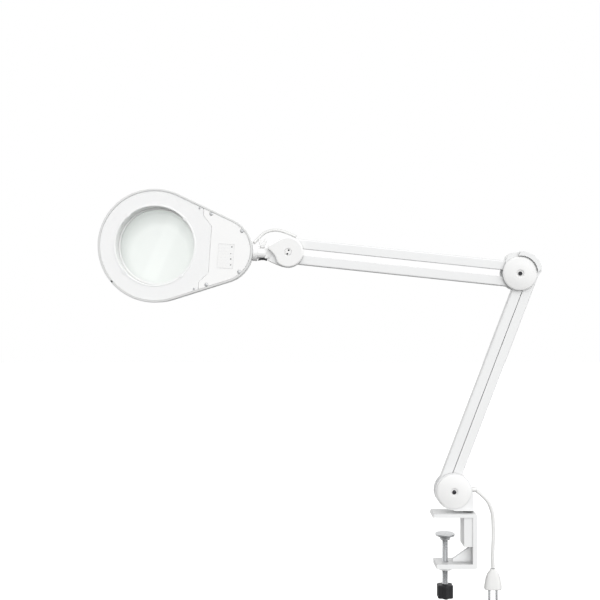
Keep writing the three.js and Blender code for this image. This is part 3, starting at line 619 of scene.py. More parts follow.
def round_cap(node, centre, side, body):
    edge = CAP_R - 2 * MM
    profile = [
        (2.5 * MM, CAP_BACK), (5 * MM, CAP_BACK), (5 * MM, CAP_BACK + 1.8 * MM),
        (CAP_R * 0.72, CAP_BACK + 1.8 * MM), (edge, CAP_BACK + 0.2 * MM), (edge, CAP_BACK),
        (CAP_R, CAP_BACK, 0.3 * MM), (CAP_R, CAP_BACK + 1.9 * MM, 1.1 * MM),
        *dome_profile(),
        (6.6 * MM, CAP_TOP, 0.5 * MM), (5.2 * MM, CAP_SEAT, 0.4 * MM), (2.5 * MM, CAP_SEAT),
    ]
    cap = turned(node + "_shell", profile, side_matrix(centre, side), 96)
    finish_piece(cap, "white_plastic", body, node)


def shank(seat):
    """Profile of a bolt's shank, up to the seat that its head rests on."""
    end = -CAP_SEAT - 3 * MM
    return [(0, end), (2.1 * MM, end, 0.4 * MM), (2.1 * MM, seat)]


def socket_bolt(node, centre, body):
    """Dark button-head bolt with a hexagon socket."""
    seat = CAP_SEAT + 0.3 * MM
    place = side_matrix(centre, -1)
    head = turned(node + "_socket", [
        *shank(seat), (3.4 * MM, seat, 0.2 * MM), (3.4 * MM, seat + 1.1 * MM, 0.9 * MM),
        (2.2 * MM, seat + 2.1 * MM, 0.5 * MM), (0, seat + 2.1 * MM),
    ], place, 48, closed=False)
    hexagon = [(x, z) for x, _, z in circle(1.75 * MM, 0, 6)]
    carve(head, [slab("key", hexagon, seat + 0.6 * MM, seat + 4 * MM, 0.02 * MM, place, 1)])
    finish_piece(head, "dark_steel", body, node)


HOLE_OFFSET = Vector((1.07, 0, 2.97)) * MM


def two_hole_bolt():
    """Flat bright bolt head with two blind holes for a pin wrench."""
    place = side_matrix(NECK, -1)
    seat = CAP_SEAT + 0.2 * MM
    head = turned("tilt_bolt_face", [
        *shank(seat), (4.9 * MM, seat, 0.2 * MM), (4.9 * MM, seat + 1.0 * MM, 0.6 * MM),
        (0, seat + 1.1 * MM),
    ], place, 48, closed=False)
    cutters, shade_floors = [], []
    for sign in (-1, 1):
        at = place @ Matrix.Translation(HOLE_OFFSET * sign)
        cutters.append(turned("hole", [
            (0, seat + 0.3 * MM), (1.5 * MM, seat + 0.3 * MM), (1.6 * MM, seat + 3 * MM), (0, seat + 3 * MM),
        ], at, 24, closed=False))
        # a black disc at the bottom of each hole paints the shade inside it
        shade_floors.append(rod("floor", 1.6 * MM, seat + 0.2 * MM, seat + 0.4 * MM, at, 24))
    carve(head, cutters)
    finish_piece(head, "dark_steel", "head_bracket", "tilt_bolt", skin="white_plastic")
    finish_piece(merge("tilt_bolt_hole_shade", shade_floors), "black_plastic", "head_bracket")


def build_caps():
    for part, centre in (("base", BASE), ("elbow", ELBOW)):
        for label, side in SIDES:
            round_cap(f"{part}_cap_{label}", centre, side, part)
        socket_bolt(f"{part}_bolt", centre, part)
    for label, side in SIDES:
        neck_cap(f"head_cap_{label}", side)
    two_hole_bolt()


# ---- head ----
HEAD_R = 93 * MM
TIP_R = 54.3 * MM
TIP_AT = 105.8 * MM
LENS_R = 63.5 * MM
FRONT = -19 * MM
BACK = 19 * MM
PANEL_BACK = -15.2 * MM  # the inner side of the diffuser and the driver cover
PANEL_TOP = -18.2 * MM
COVER_TOP = -18.6 * MM
OPENING = 64.4 * MM
RIM = 3.7 * MM
WALL = 3.5 * MM
TUBE_END = -14.8 * MM
SEAT = 16.6 * MM  # the lens's seat
RING_POINTS = 200
LEAN = math.asin((HEAD_R - TIP_R) / TIP_AT)
MEET = math.pi / 2 - LEAN
PARTING = mm((76, 54.5), (90.6, 38))  # corners of the parting line, mirrored below the axis
PARTING_GAP = 0.1 * MM
COVER_SCREWS = [f"cover_screw_{i}" for i in range(1, 5)]


def head_reach(turn, inset):
    """How far the head's outline lies from the lens centre in a direction, drawn in by an inset."""
    turn = abs((turn + math.pi) % (2 * math.pi) - math.pi)
    big, tip = HEAD_R - inset, TIP_R - inset
    if turn >= MEET:
        return big
    tangent = math.atan2(tip * math.sin(MEET), TIP_AT + tip * math.cos(MEET))
    if turn >= tangent:
        return big / math.cos(turn - MEET)
    return TIP_AT * math.cos(turn) + math.sqrt(tip ** 2 - (TIP_AT * math.sin(turn)) ** 2)


def around_lens(turns, reach, y):
    """A ring at one depth; reach gives its distance from the lens centre in each direction."""
    return [(reach(t) * math.cos(t), y, reach(t) * math.sin(t)) for t in turns]


def head_ring(inset, y):
    return around_lens(full_turn(RING_POINTS), lambda t: head_reach(t, inset), y)


def head_local(point):
    return HEAD.inverted() @ point


def lid_lug(z):
    """One of the two ears on the housing's back that hold the lid's hinge."""
    hinge = head_local(joint_at("lid_open"))
    outline = [(hinge.x - 3.2 * MM, 18 * MM), (hinge.x + 3.2 * MM, 18 * MM)]
    outline += arc(hinge.x, hinge.y, 2.5 * MM, 0, 180, 10)
    return slab("lug", outline, z - 1.5 * MM, z + 1.5 * MM, 0.4 * MM, HEAD @ SWAP_YZ, 2)


def head_shell():
    """Housing with a stepped bore for the lens, two lid lugs and holes for the switch and the stem."""
    outline = soften([
        (WALL, SEAT), (WALL, FRONT, 0.6 * MM), (0, FRONT, 1.8 * MM), (0, BACK, 9 * MM), (12 * MM, BACK),
    ], 7, closed=False)
    ledge, bore_r, tube_r = LENS_R - 2.3 * MM, OPENING - 0.2 * MM, OPENING + 2 * MM
    bore = soften([
        (LENS_R + 5 * MM, BACK), (ledge, BACK, 1.0 * MM), (ledge, SEAT), (bore_r, SEAT),
        (bore_r, TUBE_END, 0.6 * MM), (tube_r, TUBE_END, 0.6 * MM), (tube_r, SEAT),
    ], 4, closed=False)
    rings = [head_ring(inset, y) for inset, y in outline]
    rings += [circle(r, y, RING_POINTS) for r, y in bore]
    shell = loft("head_housing", rings, HEAD, closed=True)
    switch = head_local(joint_at("switch_rock"))
    window = box("window", switch.x - 8.4 * MM, switch.x + 8.4 * MM, 12 * MM, 25 * MM,
                 -5.8 * MM, 5.8 * MM, 0.6 * MM, HEAD)
    stem_hole = rod("stem_hole", 6 * MM, 140 * MM, 170 * MM, HEAD @ ALONG_X)
    carve(shell, [window, stem_hole])
    carve(shell, [lid_lug(-12 * MM), lid_lug(12 * MM)], "UNION")
    finish_piece(shell, "white_plastic", "head", "head_shell", skin="white_plastic_housing")


def parting_reach(turn, shift):
    """Distance from the lens centre to the parting line between diffuser and driver cover."""
    cos, sin = math.cos(turn), abs(math.sin(turn))
    if cos <= SAME_POINT:
        return FAR
    (x0, z0), (x1, z1) = [(x + shift, z) for x, z in PARTING]
    if sin / cos <= z1 / x1:
        return x1 / cos
    if sin / cos >= z0 / x0:
        return x0 / cos
    across, along = z0 - z1, x1 - x0
    return (across * x0 + along * z0) / (across * cos + along * sin)


def diffuser():
    """Flat ring panel up to the parting line, with a stepped edge round its opening."""
    corners = [math.atan2(z, x - PARTING_GAP) for x, z in PARTING]
    turns = sorted(full_turn(RING_POINTS) + corners + [2 * math.pi - t for t in corners])

    def outer(inset, y):
        return around_lens(turns, lambda t: min(head_reach(t, RIM + inset),
                                                parting_reach(t, -PARTING_GAP - inset)), y)

    def inner(radius, y):
        return around_lens(turns, lambda t: radius, y)

    step = PANEL_TOP - 0.5 * MM
    rings = [
        outer(0, PANEL_BACK), outer(0, PANEL_TOP + 0.5 * MM), outer(0.15 * MM, PANEL_TOP + 0.15 * MM),
        outer(0.5 * MM, PANEL_TOP), inner(OPENING + 3.0 * MM, PANEL_TOP), inner(OPENING + 2.5 * MM, step),
        inner(OPENING + 0.6 * MM, step), inner(OPENING, PANEL_TOP), inner(OPENING, PANEL_BACK),
    ]
    finish_piece(loft("diffuser_panel", rings, HEAD, closed=True), "frosted_diffuser", "head", "diffuser")


def cover_outline():
    (x0, z0), (x1, z1) = [(x + PARTING_GAP, z) for x, z in PARTING]
    edge = (HEAD_R - RIM - x0 * math.cos(MEET)) / math.sin(MEET)
    degrees = math.degrees(MEET)
    tip = arc(TIP_AT, 0, TIP_R - RIM, -degrees, degrees, 40)
    return [(x0, -edge), *tip, (x0, edge), (x0, z0), (x1, z1), (x1, -z1), (x0, -z0)]


def driver_cover():
    """Cover over the electronics at the head's tip, with a sunk seat for each of its screws."""
    cover = slab("driver_cover_plate", cover_outline(), COVER_TOP, PANEL_BACK, 0.6 * MM, HEAD, 3)
    pits = []
    for node in COVER_SCREWS:
        at = head_local(middle(node))
        pit = mm((0, -20), (4.1, -20), (3.4, -18), (0, -18))
        pits.append(turned("pit", pit, HEAD @ Matrix.Translation((at.x, 0, at.z)), 32, closed=False))
    carve(cover, pits)
    finish_piece(cover, "white_plastic", "head", "driver_cover", skin="white_plastic_cover")


def cross_screw(name, x, z, seat, radius, turn, *stands_for):
    """Pan-head screw with a cross recess; seat is the depth that its head rests at."""
    place = HEAD @ Matrix.Translation((x, seat, z)) @ Matrix.Diagonal((1, -1, 1, 1))
    head = turned(name, [
        (0, -8 * MM), (radius * 0.45, -8 * MM), (radius * 0.45, 0), (radius, 0, 0.1 * MM),
        (radius, 0.6 * MM, 0.5 * MM), (radius * 0.6, 1.15 * MM, 0.4 * MM), (0, 1.25 * MM),
    ], place, 32, closed=False)
    wide, thin = radius * 0.55, radius * 0.13
    slots = []
    for quarter in (0, 1):
        spin = place @ Matrix.Rotation(turn + quarter * math.pi / 2, 4, "Y")
        slots.append(box("slot", -wide, wide, 0.35 * MM, 3 * MM, -thin, thin, thin * 0.5, spin))
    carve(head, slots)
    finish_piece(head, "steel", "head", *stands_for)


def lens(steps=14):
    low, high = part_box("lens")
    mid = (low.y + high.y) / 2
    half = 1.5 * MM
    bulge = (high.y - low.y) / 2 - half
    rings = []
    for side in (-1, 1):
        face = [(k / steps, mid + side * (half + bulge * (1 - (k / steps) ** 2))) for k in range(steps + 1)]
        rings += [circle(LENS_R * share, y, 128) for share, y in face[::-side]]
    finish_piece(loft("lens_glass_disc", rings, HEAD), "lens_glass", "head", "lens")


def lens_ring():
    low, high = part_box("lens_ring")
    r = OPENING - 0.3 * MM
    ring = turned("lens_retainer", [
        (60.9 * MM, low.y, 0.6 * MM), (r, low.y, 0.4 * MM), (r, high.y), (62 * MM, high.y),
    ], HEAD, 128)
    finish_piece(ring, "white_plastic", "head", "lens_ring")


LID_BACK = 19.7 * MM
LID_R = 67 * MM


def lens_lid():
    """Dished lid with a hinge barrel on one side and a finger lip on the other."""
    hinge = head_local(joint_at("lid_open"))
    dish = turned("lens_lid_cover", [
        (0, 24.2 * MM), (40 * MM, 23.5 * MM), (LID_R - 3.5 * MM, LID_BACK + 1.0 * MM),
        (LID_R - 3 * MM, LID_BACK), (LID_R, LID_BACK, 0.5 * MM), (LID_R, LID_BACK + 2.0 * MM, 1.0 * MM),
        (44 * MM, 25.5 * MM, 6 * MM), (0, 26.3 * MM),
    ], HEAD, 128, closed=False, steps=6)
    tab = box("tab", LID_R - 6 * MM, hinge.x, LID_BACK + 0.4 * MM, LID_BACK + 2.0 * MM,
              -9 * MM, 9 * MM, 0.5 * MM, HEAD)
    barrel = turned("barrel", mm((0, -9), (2.6, -9, 0.3), (2.6, 9, 0.3), (0, 9)),
                    HEAD @ Matrix.Translation((hinge.x, hinge.y, 0)) @ ALONG_Z, 32, closed=False)
    lip = box("lip", -LID_R - 5 * MM, -LID_R + 3 * MM, LID_BACK + 0.2 * MM, LID_BACK + 2 * MM,
              -11 * MM, 11 * MM, 0.8 * MM, HEAD)
    carve(dish, [tab, barrel, lip], "UNION")
    finish_piece(dish, "white_plastic", "lens_lid", "lens_lid", skin="white_plastic_thin")


def ring_clips():
    """Four clips that hold the diffuser's inner edge."""
    for i in range(4):
        spin = HEAD @ Matrix.Rotation(-math.radians(45 + 90 * i), 4, "Y")
        clip = box(f"ring_clip_{i + 1}", 63.2 * MM, 68.6 * MM, -19.1 * MM, PANEL_TOP,
                   -3.0 * MM, 3.0 * MM, 0.9 * MM, spin)
        finish_piece(clip, "frosted_diffuser", "head")


LABEL_FROM, LABEL_TO = mm((104, -29), (130, 11))  # along the head, then across it
MARKS = mm((126, 6.4, 0.9), (125, -4.6, 0.6), (125.5, -13.4, 0.9), (126, -22.9, 0.8))


def rating_label():
    """Plain plate with faint rows and a few plain dots, no lettering."""
    (x0, z0), (x1, z1) = LABEL_FROM, LABEL_TO
    plate = box("rating_label", x0, x1, -18.66 * MM, -18.5 * MM, z0, z1, 0.8 * MM, HEAD)
    finish_piece(plate, "white_plastic", "head", skin="label")
    dots = []
    for x, z, half in MARKS:
        dots.append(box("dot", x - half, x + half, -18.7 * MM, COVER_TOP, z - half, z + half, 0.3 * MM, HEAD))
    finish_piece(merge("label_marks", dots), "black_plastic", "head")


def rim_lip():
    """The rim's rounded front edge, in a darker copy of the white plastic that paints shade on the rim."""
    proud = 0.08 * MM
    profile = soften([
        (-proud, -13 * MM), (-proud, FRONT - proud, 1.9 * MM), (3.4 * MM, FRONT - proud),
        (3.4 * MM, FRONT + 0.4 * MM), (0.9 * MM, FRONT + 0.7 * MM), (0.3 * MM, -13 * MM),
    ], 6)
    lip = loft("rim_lip", [head_ring(inset, y) for inset, y in profile], HEAD, closed=True)
    finish_piece(lip, "white_plastic", "head", skin="white_plastic_rim_shade")


def rim_catch():
    """Small spring catch let into the rim."""
    spin = HEAD @ Matrix.Rotation(-math.radians(224), 4, "Y")
    nib = box("rim_catch", 89.9 * MM, 92.3 * MM, -19.5 * MM, -18 * MM, -1.6 * MM, 1.6 * MM, 0.4 * MM, spin)
    finish_piece(nib, "dark_steel", "head")


DIFFUSER_SCREW_AT = (69 * MM, 66 * MM)


def head_screws():
    x, z = DIFFUSER_SCREW_AT
    for i, side in enumerate((1, -1)):
        cross_screw(f"diffuser_screw_{i + 1}", x, side * z, -18.1 * MM, 1.7 * MM, 0.3)
    for i, node in enumerate(COVER_SCREWS):
        at = head_local(middle(node))
        cross_screw(node + "_head", at.x, at.z, -18.0 * MM, 2.8 * MM, 0.3 * (i + 1), node)


def build_head():
    ring_clips()
    rating_label()
    rim_lip()
    rim_catch()
    head_shell()
    diffuser()
    driver_cover()
    lens()
    lens_ring()
    lens_lid()
    head_screws()


# ---- arms ----
BAR_HALF = 7.75 * MM
BAR_DEEP = 7.5 * MM
BAR_WALL = 1.2 * MM
BAR_FOLD = 2.9 * MM
LIP_ROUND = 0.35 * MM
PIN_HOLE_R = 3.3 * MM
ARM_BARS = [  # arm, bar, its two pivots, and the side that is open
    ("lower", "left", LOWER_BASE[0], LOWER_TOP[0], -1),
    ("lower", "right", LOWER_BASE[1], LOWER_TOP[1], 1),
    ("upper", "top", UPPER_NECK[0], UPPER_ELBOW[0], -1),
    ("upper", "bottom", UPPER_NECK[1], UPPER_ELBOW[1], 1),
]


def channel_section(open_side):
    """The channel's (depth, height) outline: a web, two rounded folds and two lips."""
    lip, web = open_side * BAR_HALF, -open_side * BAR_HALF
    inside = -open_side * (BAR_HALF - BAR_WALL)
    deep, wall = BAR_DEEP, BAR_DEEP - BAR_WALL
    return soften([
        (-deep, lip, LIP_ROUND), (-deep, web, BAR_FOLD), (deep, web, BAR_FOLD), (deep, lip, LIP_ROUND),
        (wall, lip, LIP_ROUND), (wall, inside, BAR_FOLD - BAR_WALL),
        (-wall, inside, BAR_FOLD - BAR_WALL), (-wall, lip, LIP_ROUND),
    ], 5)


def channel_bar(name, start, end, open_side, body):
    """Folded steel channel with round ends; its open side faces the other bar of the pair."""
    length = (end - start).length
    along = (end - start).normalized()
    place = axes(start, along, DEPTH, along.cross(DEPTH))
    past_end = BAR_HALF * 1.02
    rings = []
    for x in (-past_end, length * 0.25, length * 0.5, length * 0.75, length + past_end):
        rings.append([(x, p.x, p.y) for p in channel_section(open_side)])
    bar = loft(name, rings, place)
    ends = arc(0, 0, BAR_HALF, 90, 270, 20) + arc(length, 0, BAR_HALF, -90, 90, 20)
    past_side = BAR_DEEP + 2 * MM
    carve(bar, [slab("stadium", ends, -past_side, past_side, 0.01 * MM, place, 1)], "INTERSECT")
    holes = []
    for x in (0, length):
        holes.append(rod("hole", PIN_HOLE_R, -12 * MM, 12 * MM, place @ Matrix.Translation((x, 0, 0))))
    carve(bar, holes)
    finish_piece(bar, "white_paint", body, body)


COIL_R = 2.75 * MM
COIL_PITCH = 1.9 * MM
COIL_STEPS = 9  # per turn
COIL_INSET = 24 * MM
WIRE_R = 0.62 * MM


def spring_end(at, outwards, reach):
    """The straight wire that runs from the coil's edge towards the bar's end."""
    points = [(0, COIL_R), *mm((3, 2), (8, 0.5)), (reach, 0)]
    return tube("spring_end", smooth_path([at + outwards * x + DEPTH * y for x, y in points]), WIRE_R, 6)


def bar_spring(name, node, start, end, body):
    """Tension spring beside its channel's web, with a straight wire at each end."""
    along = (end - start).normalized()
    across = along.cross(DEPTH)
    mid = middle(node) - start
    length = 2 * (mid.dot(along) - COIL_INSET)
    first = start + along * COIL_INSET + across * mid.dot(across)
    steps = int(length / COIL_PITCH * COIL_STEPS)
    path = []
    for k in range(steps + 1):
        t = 2 * math.pi * k / COIL_STEPS
        turned_out = DEPTH * (COIL_R * math.cos(t)) + across * (COIL_R * math.sin(t))
        path.append(first + along * (length * k / steps) + turned_out)
    coil = tube("coil", path, WIRE_R, 6)
    ends = [spring_end(first, -along, 12 * MM), spring_end(first + along * length, along, 14 * MM)]
    spring = shade(merge(name, [coil, *ends]), 80)
    finish_piece(spring, "spring_steel", body, node)


def build_arms():
    for arm, bar, start, end, open_side in ARM_BARS:
        channel_bar(f"{arm}_channel_{bar}", start, end, open_side, f"{arm}_bar_{bar}")
    for arm, bar, start, end, open_side in ARM_BARS:
        bar_spring(f"{arm}_coil_{bar}_piece", f"{arm}_spring_{bar}", start, end, f"{arm}_bar_{bar}")


# ---- cables ----
CABLE_R = 2.5 * MM
CABLE_FROM_NECK = mm((-56.4, 2, 15.9), (-54.4, 4, 18.5), (-49.7, 6, 23.3), (-39.8, 6.5, 32.6),
                     (-26.6, 6.8, 37.1), (-13.4, 6.8, 36.6), (-0.2, 6.2, 32.4), (13, 4.8, 26.4))
CABLE_LENGTHS = [  # name, its first and last step along the path, and the bodies at its ends
    ("head_cable_roll", 0, 17, "head", "knuckle"),
    ("head_cable_tilt", 17, 41, "knuckle", "head_bracket"),
    ("head_cable_level", 41, 56, "head_bracket", "upper_bar_top"),
]


def build_head_cable():
    """The cable's loop from the head to the top bar, in three lengths."""
    path = smooth_path([NECK + Vector(p) for p in CABLE_FROM_NECK])
    for name, first, last, a, b in CABLE_LENGTHS:
        piece = tube(name, path[first:last + 1], CABLE_R, 20, round_ends=False)
        dress(piece, "white_cable")
        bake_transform(piece)
        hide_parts("head_cable")


CORD_R = 2.75 * MM
CORD_FROM_BASE = mm((27, 1.5), (36, 0.9), (44.8, -5.1), (57.2, -17.5), (63.8, -32.3), (66.3, -46),
                    (67, -75), (66, -105), (66.4, -128))
BOOT_FROM_BASE = Vector((30.5, 0, 1.4)) * MM


def build_cord():
    """The power cord from the base cap down to its plug, with a boot where it leaves the cap."""
    path = smooth_path([BASE + Vector((x, 0, z)) for x, z in CORD_FROM_BASE])
    finish_piece(tube("power_cord_run", path, CORD_R, 20), "white_cable", "base", "power_cord")
    boot = turned("cord_boot", mm((2.8, 0), (4.6, 0, 0.5), (4.4, 3, 0.8), (3.3, 9, 1), (2.8, 9.4)),
                  Matrix.Translation(BASE + BOOT_FROM_BASE) @ ALONG_X, 32)
    finish_piece(boot, "white_cable", "base")


PLUG_SECTIONS = mm((0, 4.2, 3.6), (3, 5.0, 4.2), (8, 9.2, 5.2), (16, 12.0, 6.2), (28, 14.0, 7.2),
                   (33, 14.2, 7.4), (34, 13.2, 6.6))  # drop from the top, half width, half depth
PLUG_SQUARENESS = 0.7
PIN_ASIDE = 6 * MM


def squared(value):
    return math.copysign(abs(value) ** PLUG_SQUARENESS, value)


def build_plug():
    """Moulded two-pin plug that widens downwards."""
    centre = flat(middle("power_plug"))
    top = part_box("power_plug")[1].z
    rings = []
    for drop, wide, deep in PLUG_SECTIONS:
        rings.append([(centre.x + wide * squared(math.cos(t)), deep * squared(math.sin(t)), top - drop)
                      for t in full_turn(40)])
    pins = []
    for side in (-1, 1):
        place = Matrix.Translation((centre.x + side * PIN_ASIDE, 0, top)) @ ALONG_Z
        pins.append(turned("pin", mm((0, -52.6), (1.3, -52.6, 0.8), (1.95, -51, 1), (1.95, -33.5),
                                     (0, -33.5)), place, 24, closed=False))
    finish_piece(shade(merge("plug_pins", pins)), "steel", "base")
    finish_piece(loft("plug_moulding", rings), "white_cable", "base", "power_plug")


# ---- clamp ----
THREAD_R = 5 * MM
THREAD_PITCH = 2 * MM
THREAD_DEPTH = 0.95 * MM
THREAD_ROWS = 8  # per turn
SPINDLE_POINTS = 28
SPINDLE_R = 3.5 * MM
KNOB_R = 14 * MM
KNOB_LOBES = 6
LOBE_DEPTH = 1.4 * MM


def thread_ring(z):
    ring = []
    for k, t in enumerate(full_turn(SPINDLE_POINTS)):
        share = (z / THREAD_PITCH - k / SPINDLE_POINTS) % 1
        r = THREAD_R - THREAD_DEPTH * abs(2 * share - 1)
        ring.append((r * math.cos(t), z, r * math.sin(t)))
    return ring


def clamp_spindle():
    """Plain ends with a thread between the knob and the pad."""
    low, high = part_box("clamp_screw")
    thread_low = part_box("clamp_knob")[1].z + 1 * MM
    thread_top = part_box("clamp_pad")[0].z - 1 * MM
    rows = int((thread_top - thread_low) / (THREAD_PITCH / THREAD_ROWS))
    rings = [circle(SPINDLE_R, z, SPINDLE_POINTS) for z in (low.z, thread_low)]
    rings += [thread_ring(thread_low + (thread_top - thread_low) * i / rows) for i in range(rows + 1)]
    rings += [circle(SPINDLE_R, z, SPINDLE_POINTS) for z in (thread_top, high.z)]
    screw = shade(loft("clamp_spindle", rings, ALONG_Z), 50)
    finish_piece(screw, "steel", "clamp_screw", "clamp_screw")


def clamp_knob():
    low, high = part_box("clamp_knob")
    outline = []
    for t in full_turn(96):
        r = KNOB_R - LOBE_DEPTH * (1 + math.cos(KNOB_LOBES * t))
        outline.append((r * math.cos(t), r * math.sin(t)))
    knob = slab("clamp_knob_grip", outline, low.z, high.z, 1.8 * MM, ALONG_Z, 5)
    dimple = turned("dimple", [
        (0, low.z - 1 * MM), (7 * MM, low.z - 1 * MM), (5.6 * MM, low.z + 1.2 * MM, 0.6 * MM),
        (0, low.z + 1.2 * MM),
    ], ALONG_Z, 48, closed=False)
    carve(knob, [dimple, rod("hole", 3.8 * MM, low.z + 5 * MM, high.z + 1 * MM, ALONG_Z)])
    finish_piece(knob, "black_plastic", "clamp_screw", "clamp_knob")


def clamp_pad():
    low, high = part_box("clamp_pad")
    cup = high.z - 3.2 * MM
    pad = turned("clamp_pad_cup", [
        (0, cup), (3.8 * MM, cup), (3.8 * MM, low.z), (8 * MM, low.z, 0.6 * MM),
        (8.4 * MM, high.z - 6 * MM, 0.8 * MM), (15.6 * MM, high.z - 3.4 * MM, 0.8 * MM),
        (16 * MM, high.z, 0.4 * MM), (0, high.z),
    ], ALONG_Z, 64, closed=False)
    finish_piece(pad, "steel", "clamp_pad", "clamp_pad")


def build_clamp():
    clamp_spindle()
    clamp_knob()
    clamp_pad()


# ---- neck and knuckle ----
NECK_R = 25 * MM
TIP_MIDDLE = Vector((-33.1, 7.4)) * MM
TIP_HALF = 3 * MM
TIP_ROUND = 2.4 * MM
HOLLOW = Vector((-21, -3.5)) * MM  # draws the lower edge in
FLANK_EDGE = mm((-32.4, -8.0), (-32.3, -11.6), (-31.2, -13.5), (-24.0, -16.9), (-16.5, -20.1),
                (-9.4, -22.9))


def neck_outline():
    """Teardrop round the tilt axis, its point towards the head and its lower edge hollowed."""
    points = arc(0, 0, NECK_R, -138, 112, 44)
    end = Vector(points[0])
    top = TIP_MIDDLE + Vector((0, TIP_HALF))
    low = TIP_MIDDLE - Vector((0, TIP_HALF))
    tip = soften([points[-1], (*top, TIP_ROUND), (*low, TIP_ROUND), tuple(HOLLOW)], 5)
    points += [tuple(p) for p in tip[1:-1]]
    for k in range(2, 12):
        t = k / 12
        points.append(tuple(low * (1 - t) ** 2 + HOLLOW * 2 * t * (1 - t) + end * t ** 2))
    return points


def neck_cap(node, side):
    place = side_matrix(NECK, side)
    above = CAP_TOP + 0.2 * MM
    cap = slab(node + "_shell", neck_outline(), CAP_BACK - 3 * MM, CAP_TOP, 2.9 * MM, place, 6)
    below = box("below", -60 * MM, 60 * MM, -1 * MM, CAP_BACK, -60 * MM, 60 * MM, 0.1 * MM, place)
    dish = turned("dish", [(0, CAP_SEAT), (5.2 * MM, CAP_SEAT), (6.6 * MM, above), (0, above)],
                  place, 48, closed=False)
    carve(cap, [below, dish, rod("bore", 2.5 * MM, 5 * MM, 30 * MM, place, 24)])
    finish_piece(cap, "white_plastic", "head_bracket", node)


def flank_beads():
    """Rolled lower edge of the neck bracket's two side plates, in the cable's skin, whose painted shade draws the
    edge as a dark line.
    """
    for label, side in SIDES:
        points = [NECK + Vector((x, 9.9 * MM * side, z)) for x, z in FLANK_EDGE]
        bead = tube(f"neck_flank_bead_{label}", smooth_path(points, 5), 0.85 * MM, 12)
        finish_piece(bead, "white_cable", "head_bracket")


WING_AT = 174.5 * MM  # along the head axis from the lens centre
WING_EAR = mm((2.6, 9.6), (2.8, 12.5), (5.2, 15.5), (6.8, 19.5), (6.7, 23.6), (5.4, 24.5), (3.6, 24.0),
              (2.2, 20.6))  # one ear; the other mirrors it
WING_NOTCH = (0, 18.4 * MM)
KNUCKLE_SHADE_ARCH = mm((-49.4, -13.4), (-44.5, -12.3), (-39.5, -12.5), (-36.2, -13.6), (-34.6, -13.2),
              (-34.4, -11.0), (-36.6, -9.2), (-41.0, -8.8), (-46.0, -9.6), (-49.2, -11.8))


def wing_screw():
    """Two ears on a short round post."""
    place = HEAD @ Matrix.Translation((WING_AT, 0, 0))
    outline = [*WING_EAR, WING_NOTCH, *[(-x, z) for x, z in reversed(WING_EAR)]]
    ears = slab("wing_screw_ears", outline, -1.8 * MM, 1.8 * MM, 0.8 * MM, place, 3)
    post = turned("post", mm((0, 6.6), (2.5, 6.6, 0.3), (2.5, 9.7), (4.2, 9.7, 0.4), (4.0, 12.4, 0.8),
                             (0, 13)), place @ ALONG_Z, 32, closed=False)
    carve(ears, [post], "UNION")
    finish_piece(ears, "white_plastic", "wing_screw", "wing_screw", skin="white_plastic_shade_outlined")


# A black arch put under the knuckle where its shade falls: painted shade, standing in for the knuckle_pad node.
def knuckle_pad():
    arch = slab("knuckle_shade_arch", KNUCKLE_SHADE_ARCH, -7 * MM, 7 * MM, 0.5 * MM, Matrix.Translation(NECK), 2)
    finish_piece(arch, "black_plastic", "knuckle", "knuckle_pad")


def knuckle_shim():
    """Thin ring between the knuckle and the stem's collar."""
    shim = turned("knuckle_shim", mm((7.3, 167.66), (8.8, 167.66), (8.8, 168.14), (7.3, 168.14)),
                  HEAD @ ALONG_X, 48)
    finish_piece(shim, "white_plastic", "knuckle")


def build_knuckle():
    wing_screw()
    knuckle_pad()
    knuckle_shim()
    flank_beads()


# ---- stage ----
VIEW_DISTANCE = 1.5  # from the arm's plane to the camera
VIEW_ASIDE = 0.2372  # camera to the right of the lens centre
VIEW_BELOW = 0.0889  # camera below the lens centre
VIEW_FOCAL = 54.5
SENSOR = 36


def build_camera():
    data = bpy.data.cameras.new("camera")
    data.lens = VIEW_FOCAL
    data.sensor_width = SENSOR
    data.clip_end = 50
    camera = link("camera", data)
    camera.location = LENS + Vector((VIEW_ASIDE, -VIEW_DISTANCE, -VIEW_BELOW))
    camera.rotation_euler = (math.pi / 2, 0, 0)
    bpy.context.scene.camera = camera


KEY_STRENGTH = 1.66
BACKDROP = 1.12
ASIDE = 0.6
FILL = 0.17
WINDOW = 0.8


def glow(graph, direction, towards, start, end, strength=1.0):
    """Light that fades in smoothly as the view direction nears another."""
    near = graph.compare("DOT_PRODUCT", direction, Vector(towards).normalized())
    return graph.remap(near, 0.0, strength, start, end, interpolation_type="SMOOTHSTEP")


def studio_light(graph, direction):
    """A big soft key from the upper right, a bright backdrop, some light from the left, little from below."""
    key = glow(graph, direction, (0.65, -0.7, 0.45), 0.2, 0.95, KEY_STRENGTH)
    back = glow(graph, direction, (0, 1, 0), -0.1, 0.5, BACKDROP)
    aside = glow(graph, direction, (-1, -0.3, 0.2), 0.0, 0.8, ASIDE)
    from_above = graph.calc("ADD", glow(graph, direction, (0, 0, 1), -0.8, 0.1, 0.7), 0.3)
    total = FILL
    for light in (key, back, aside):
        total = graph.calc("ADD", light, total)
    return graph.calc("MULTIPLY", total, from_above)


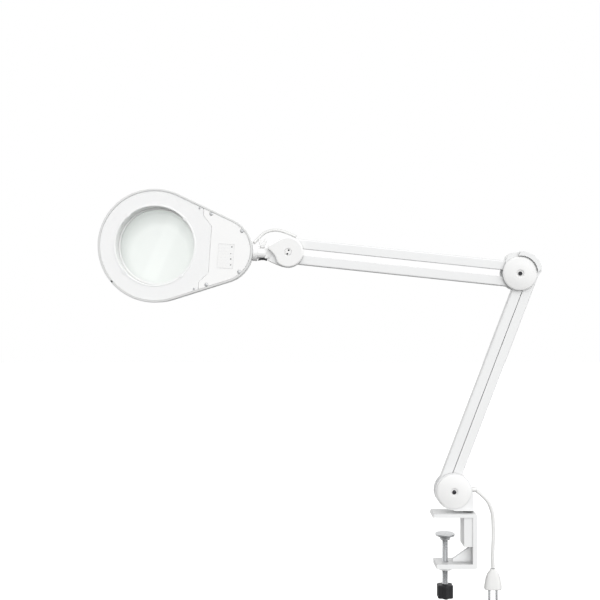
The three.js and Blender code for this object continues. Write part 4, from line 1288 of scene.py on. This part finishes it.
def window_band(graph, direction):
    """A tall window that the lens mirrors as a slanting band."""
    one_edge = glow(graph, direction, (1, 0, -0.45), -0.19, -0.165, WINDOW)
    other_edge = glow(graph, direction, (-1, 0, 0.45), 0.055, 0.08)
    front = glow(graph, direction, (0, -1, 0), 0.86, 0.9)
    return graph.calc("MULTIPLY", graph.calc("MULTIPLY", one_edge, other_edge), front)


def build_world():
    """Plain white where the camera looks at it, and the studio's lights for everything else."""
    world = bpy.data.worlds.new("studio")
    world.use_nodes = True
    graph = Graph(world.node_tree)
    direction = graph.output("TexCoord", "Generated")
    light = graph.calc("ADD", studio_light(graph, direction), window_band(graph, direction))
    rays = graph.node("LightPath", {}).outputs
    seen = graph.calc("MAXIMUM", rays["Is Camera Ray"], rays["Is Transmission Ray"])
    strength = graph.node("Mix", {"Factor": seen, "A": light, "B": 1.0}, data_type="FLOAT").outputs["Result"]
    background = graph.tree.nodes["Background"]
    graph.feed(background.inputs["Strength"], strength)
    graph.feed(background.inputs["Color"], (1, 1, 1))
    bpy.context.scene.world = world


FLOOR_BELOW = 0.45  # room for the arm to swing below the clamp
FLOOR_HALF = 12


def build_floor():
    z = CAD_BOX[0].z - FLOOR_BELOW
    mesh = bpy.data.meshes.new("floor")
    corners = [(FLOOR_HALF * x, FLOOR_HALF * y, z) for x, y in ((-1, -1), (1, -1), (1, 1), (-1, 1))]
    mesh.from_pydata(corners, [], [(0, 1, 2, 3)])
    mat, graph = new_material("floor")
    graph.feed(graph.principled.inputs["Base Color"], (0.97, 0.97, 0.97))
    graph.feed(graph.principled.inputs["Roughness"], 0.9)
    graph.feed(graph.principled.inputs["Specular IOR Level"], 0.1)
    mesh.materials.append(mat)
    floor = link("floor", mesh)
    floor.visible_diffuse = False
    floor.visible_glossy = False


build_materials()
dress_frame()
build_head()
build_caps()
build_arms()
build_head_cable()
build_cord()
build_plug()
build_clamp()
build_knuckle()
build_camera()
build_world()
build_floor()
bpy.context.scene.view_settings.view_transform = "Standard"
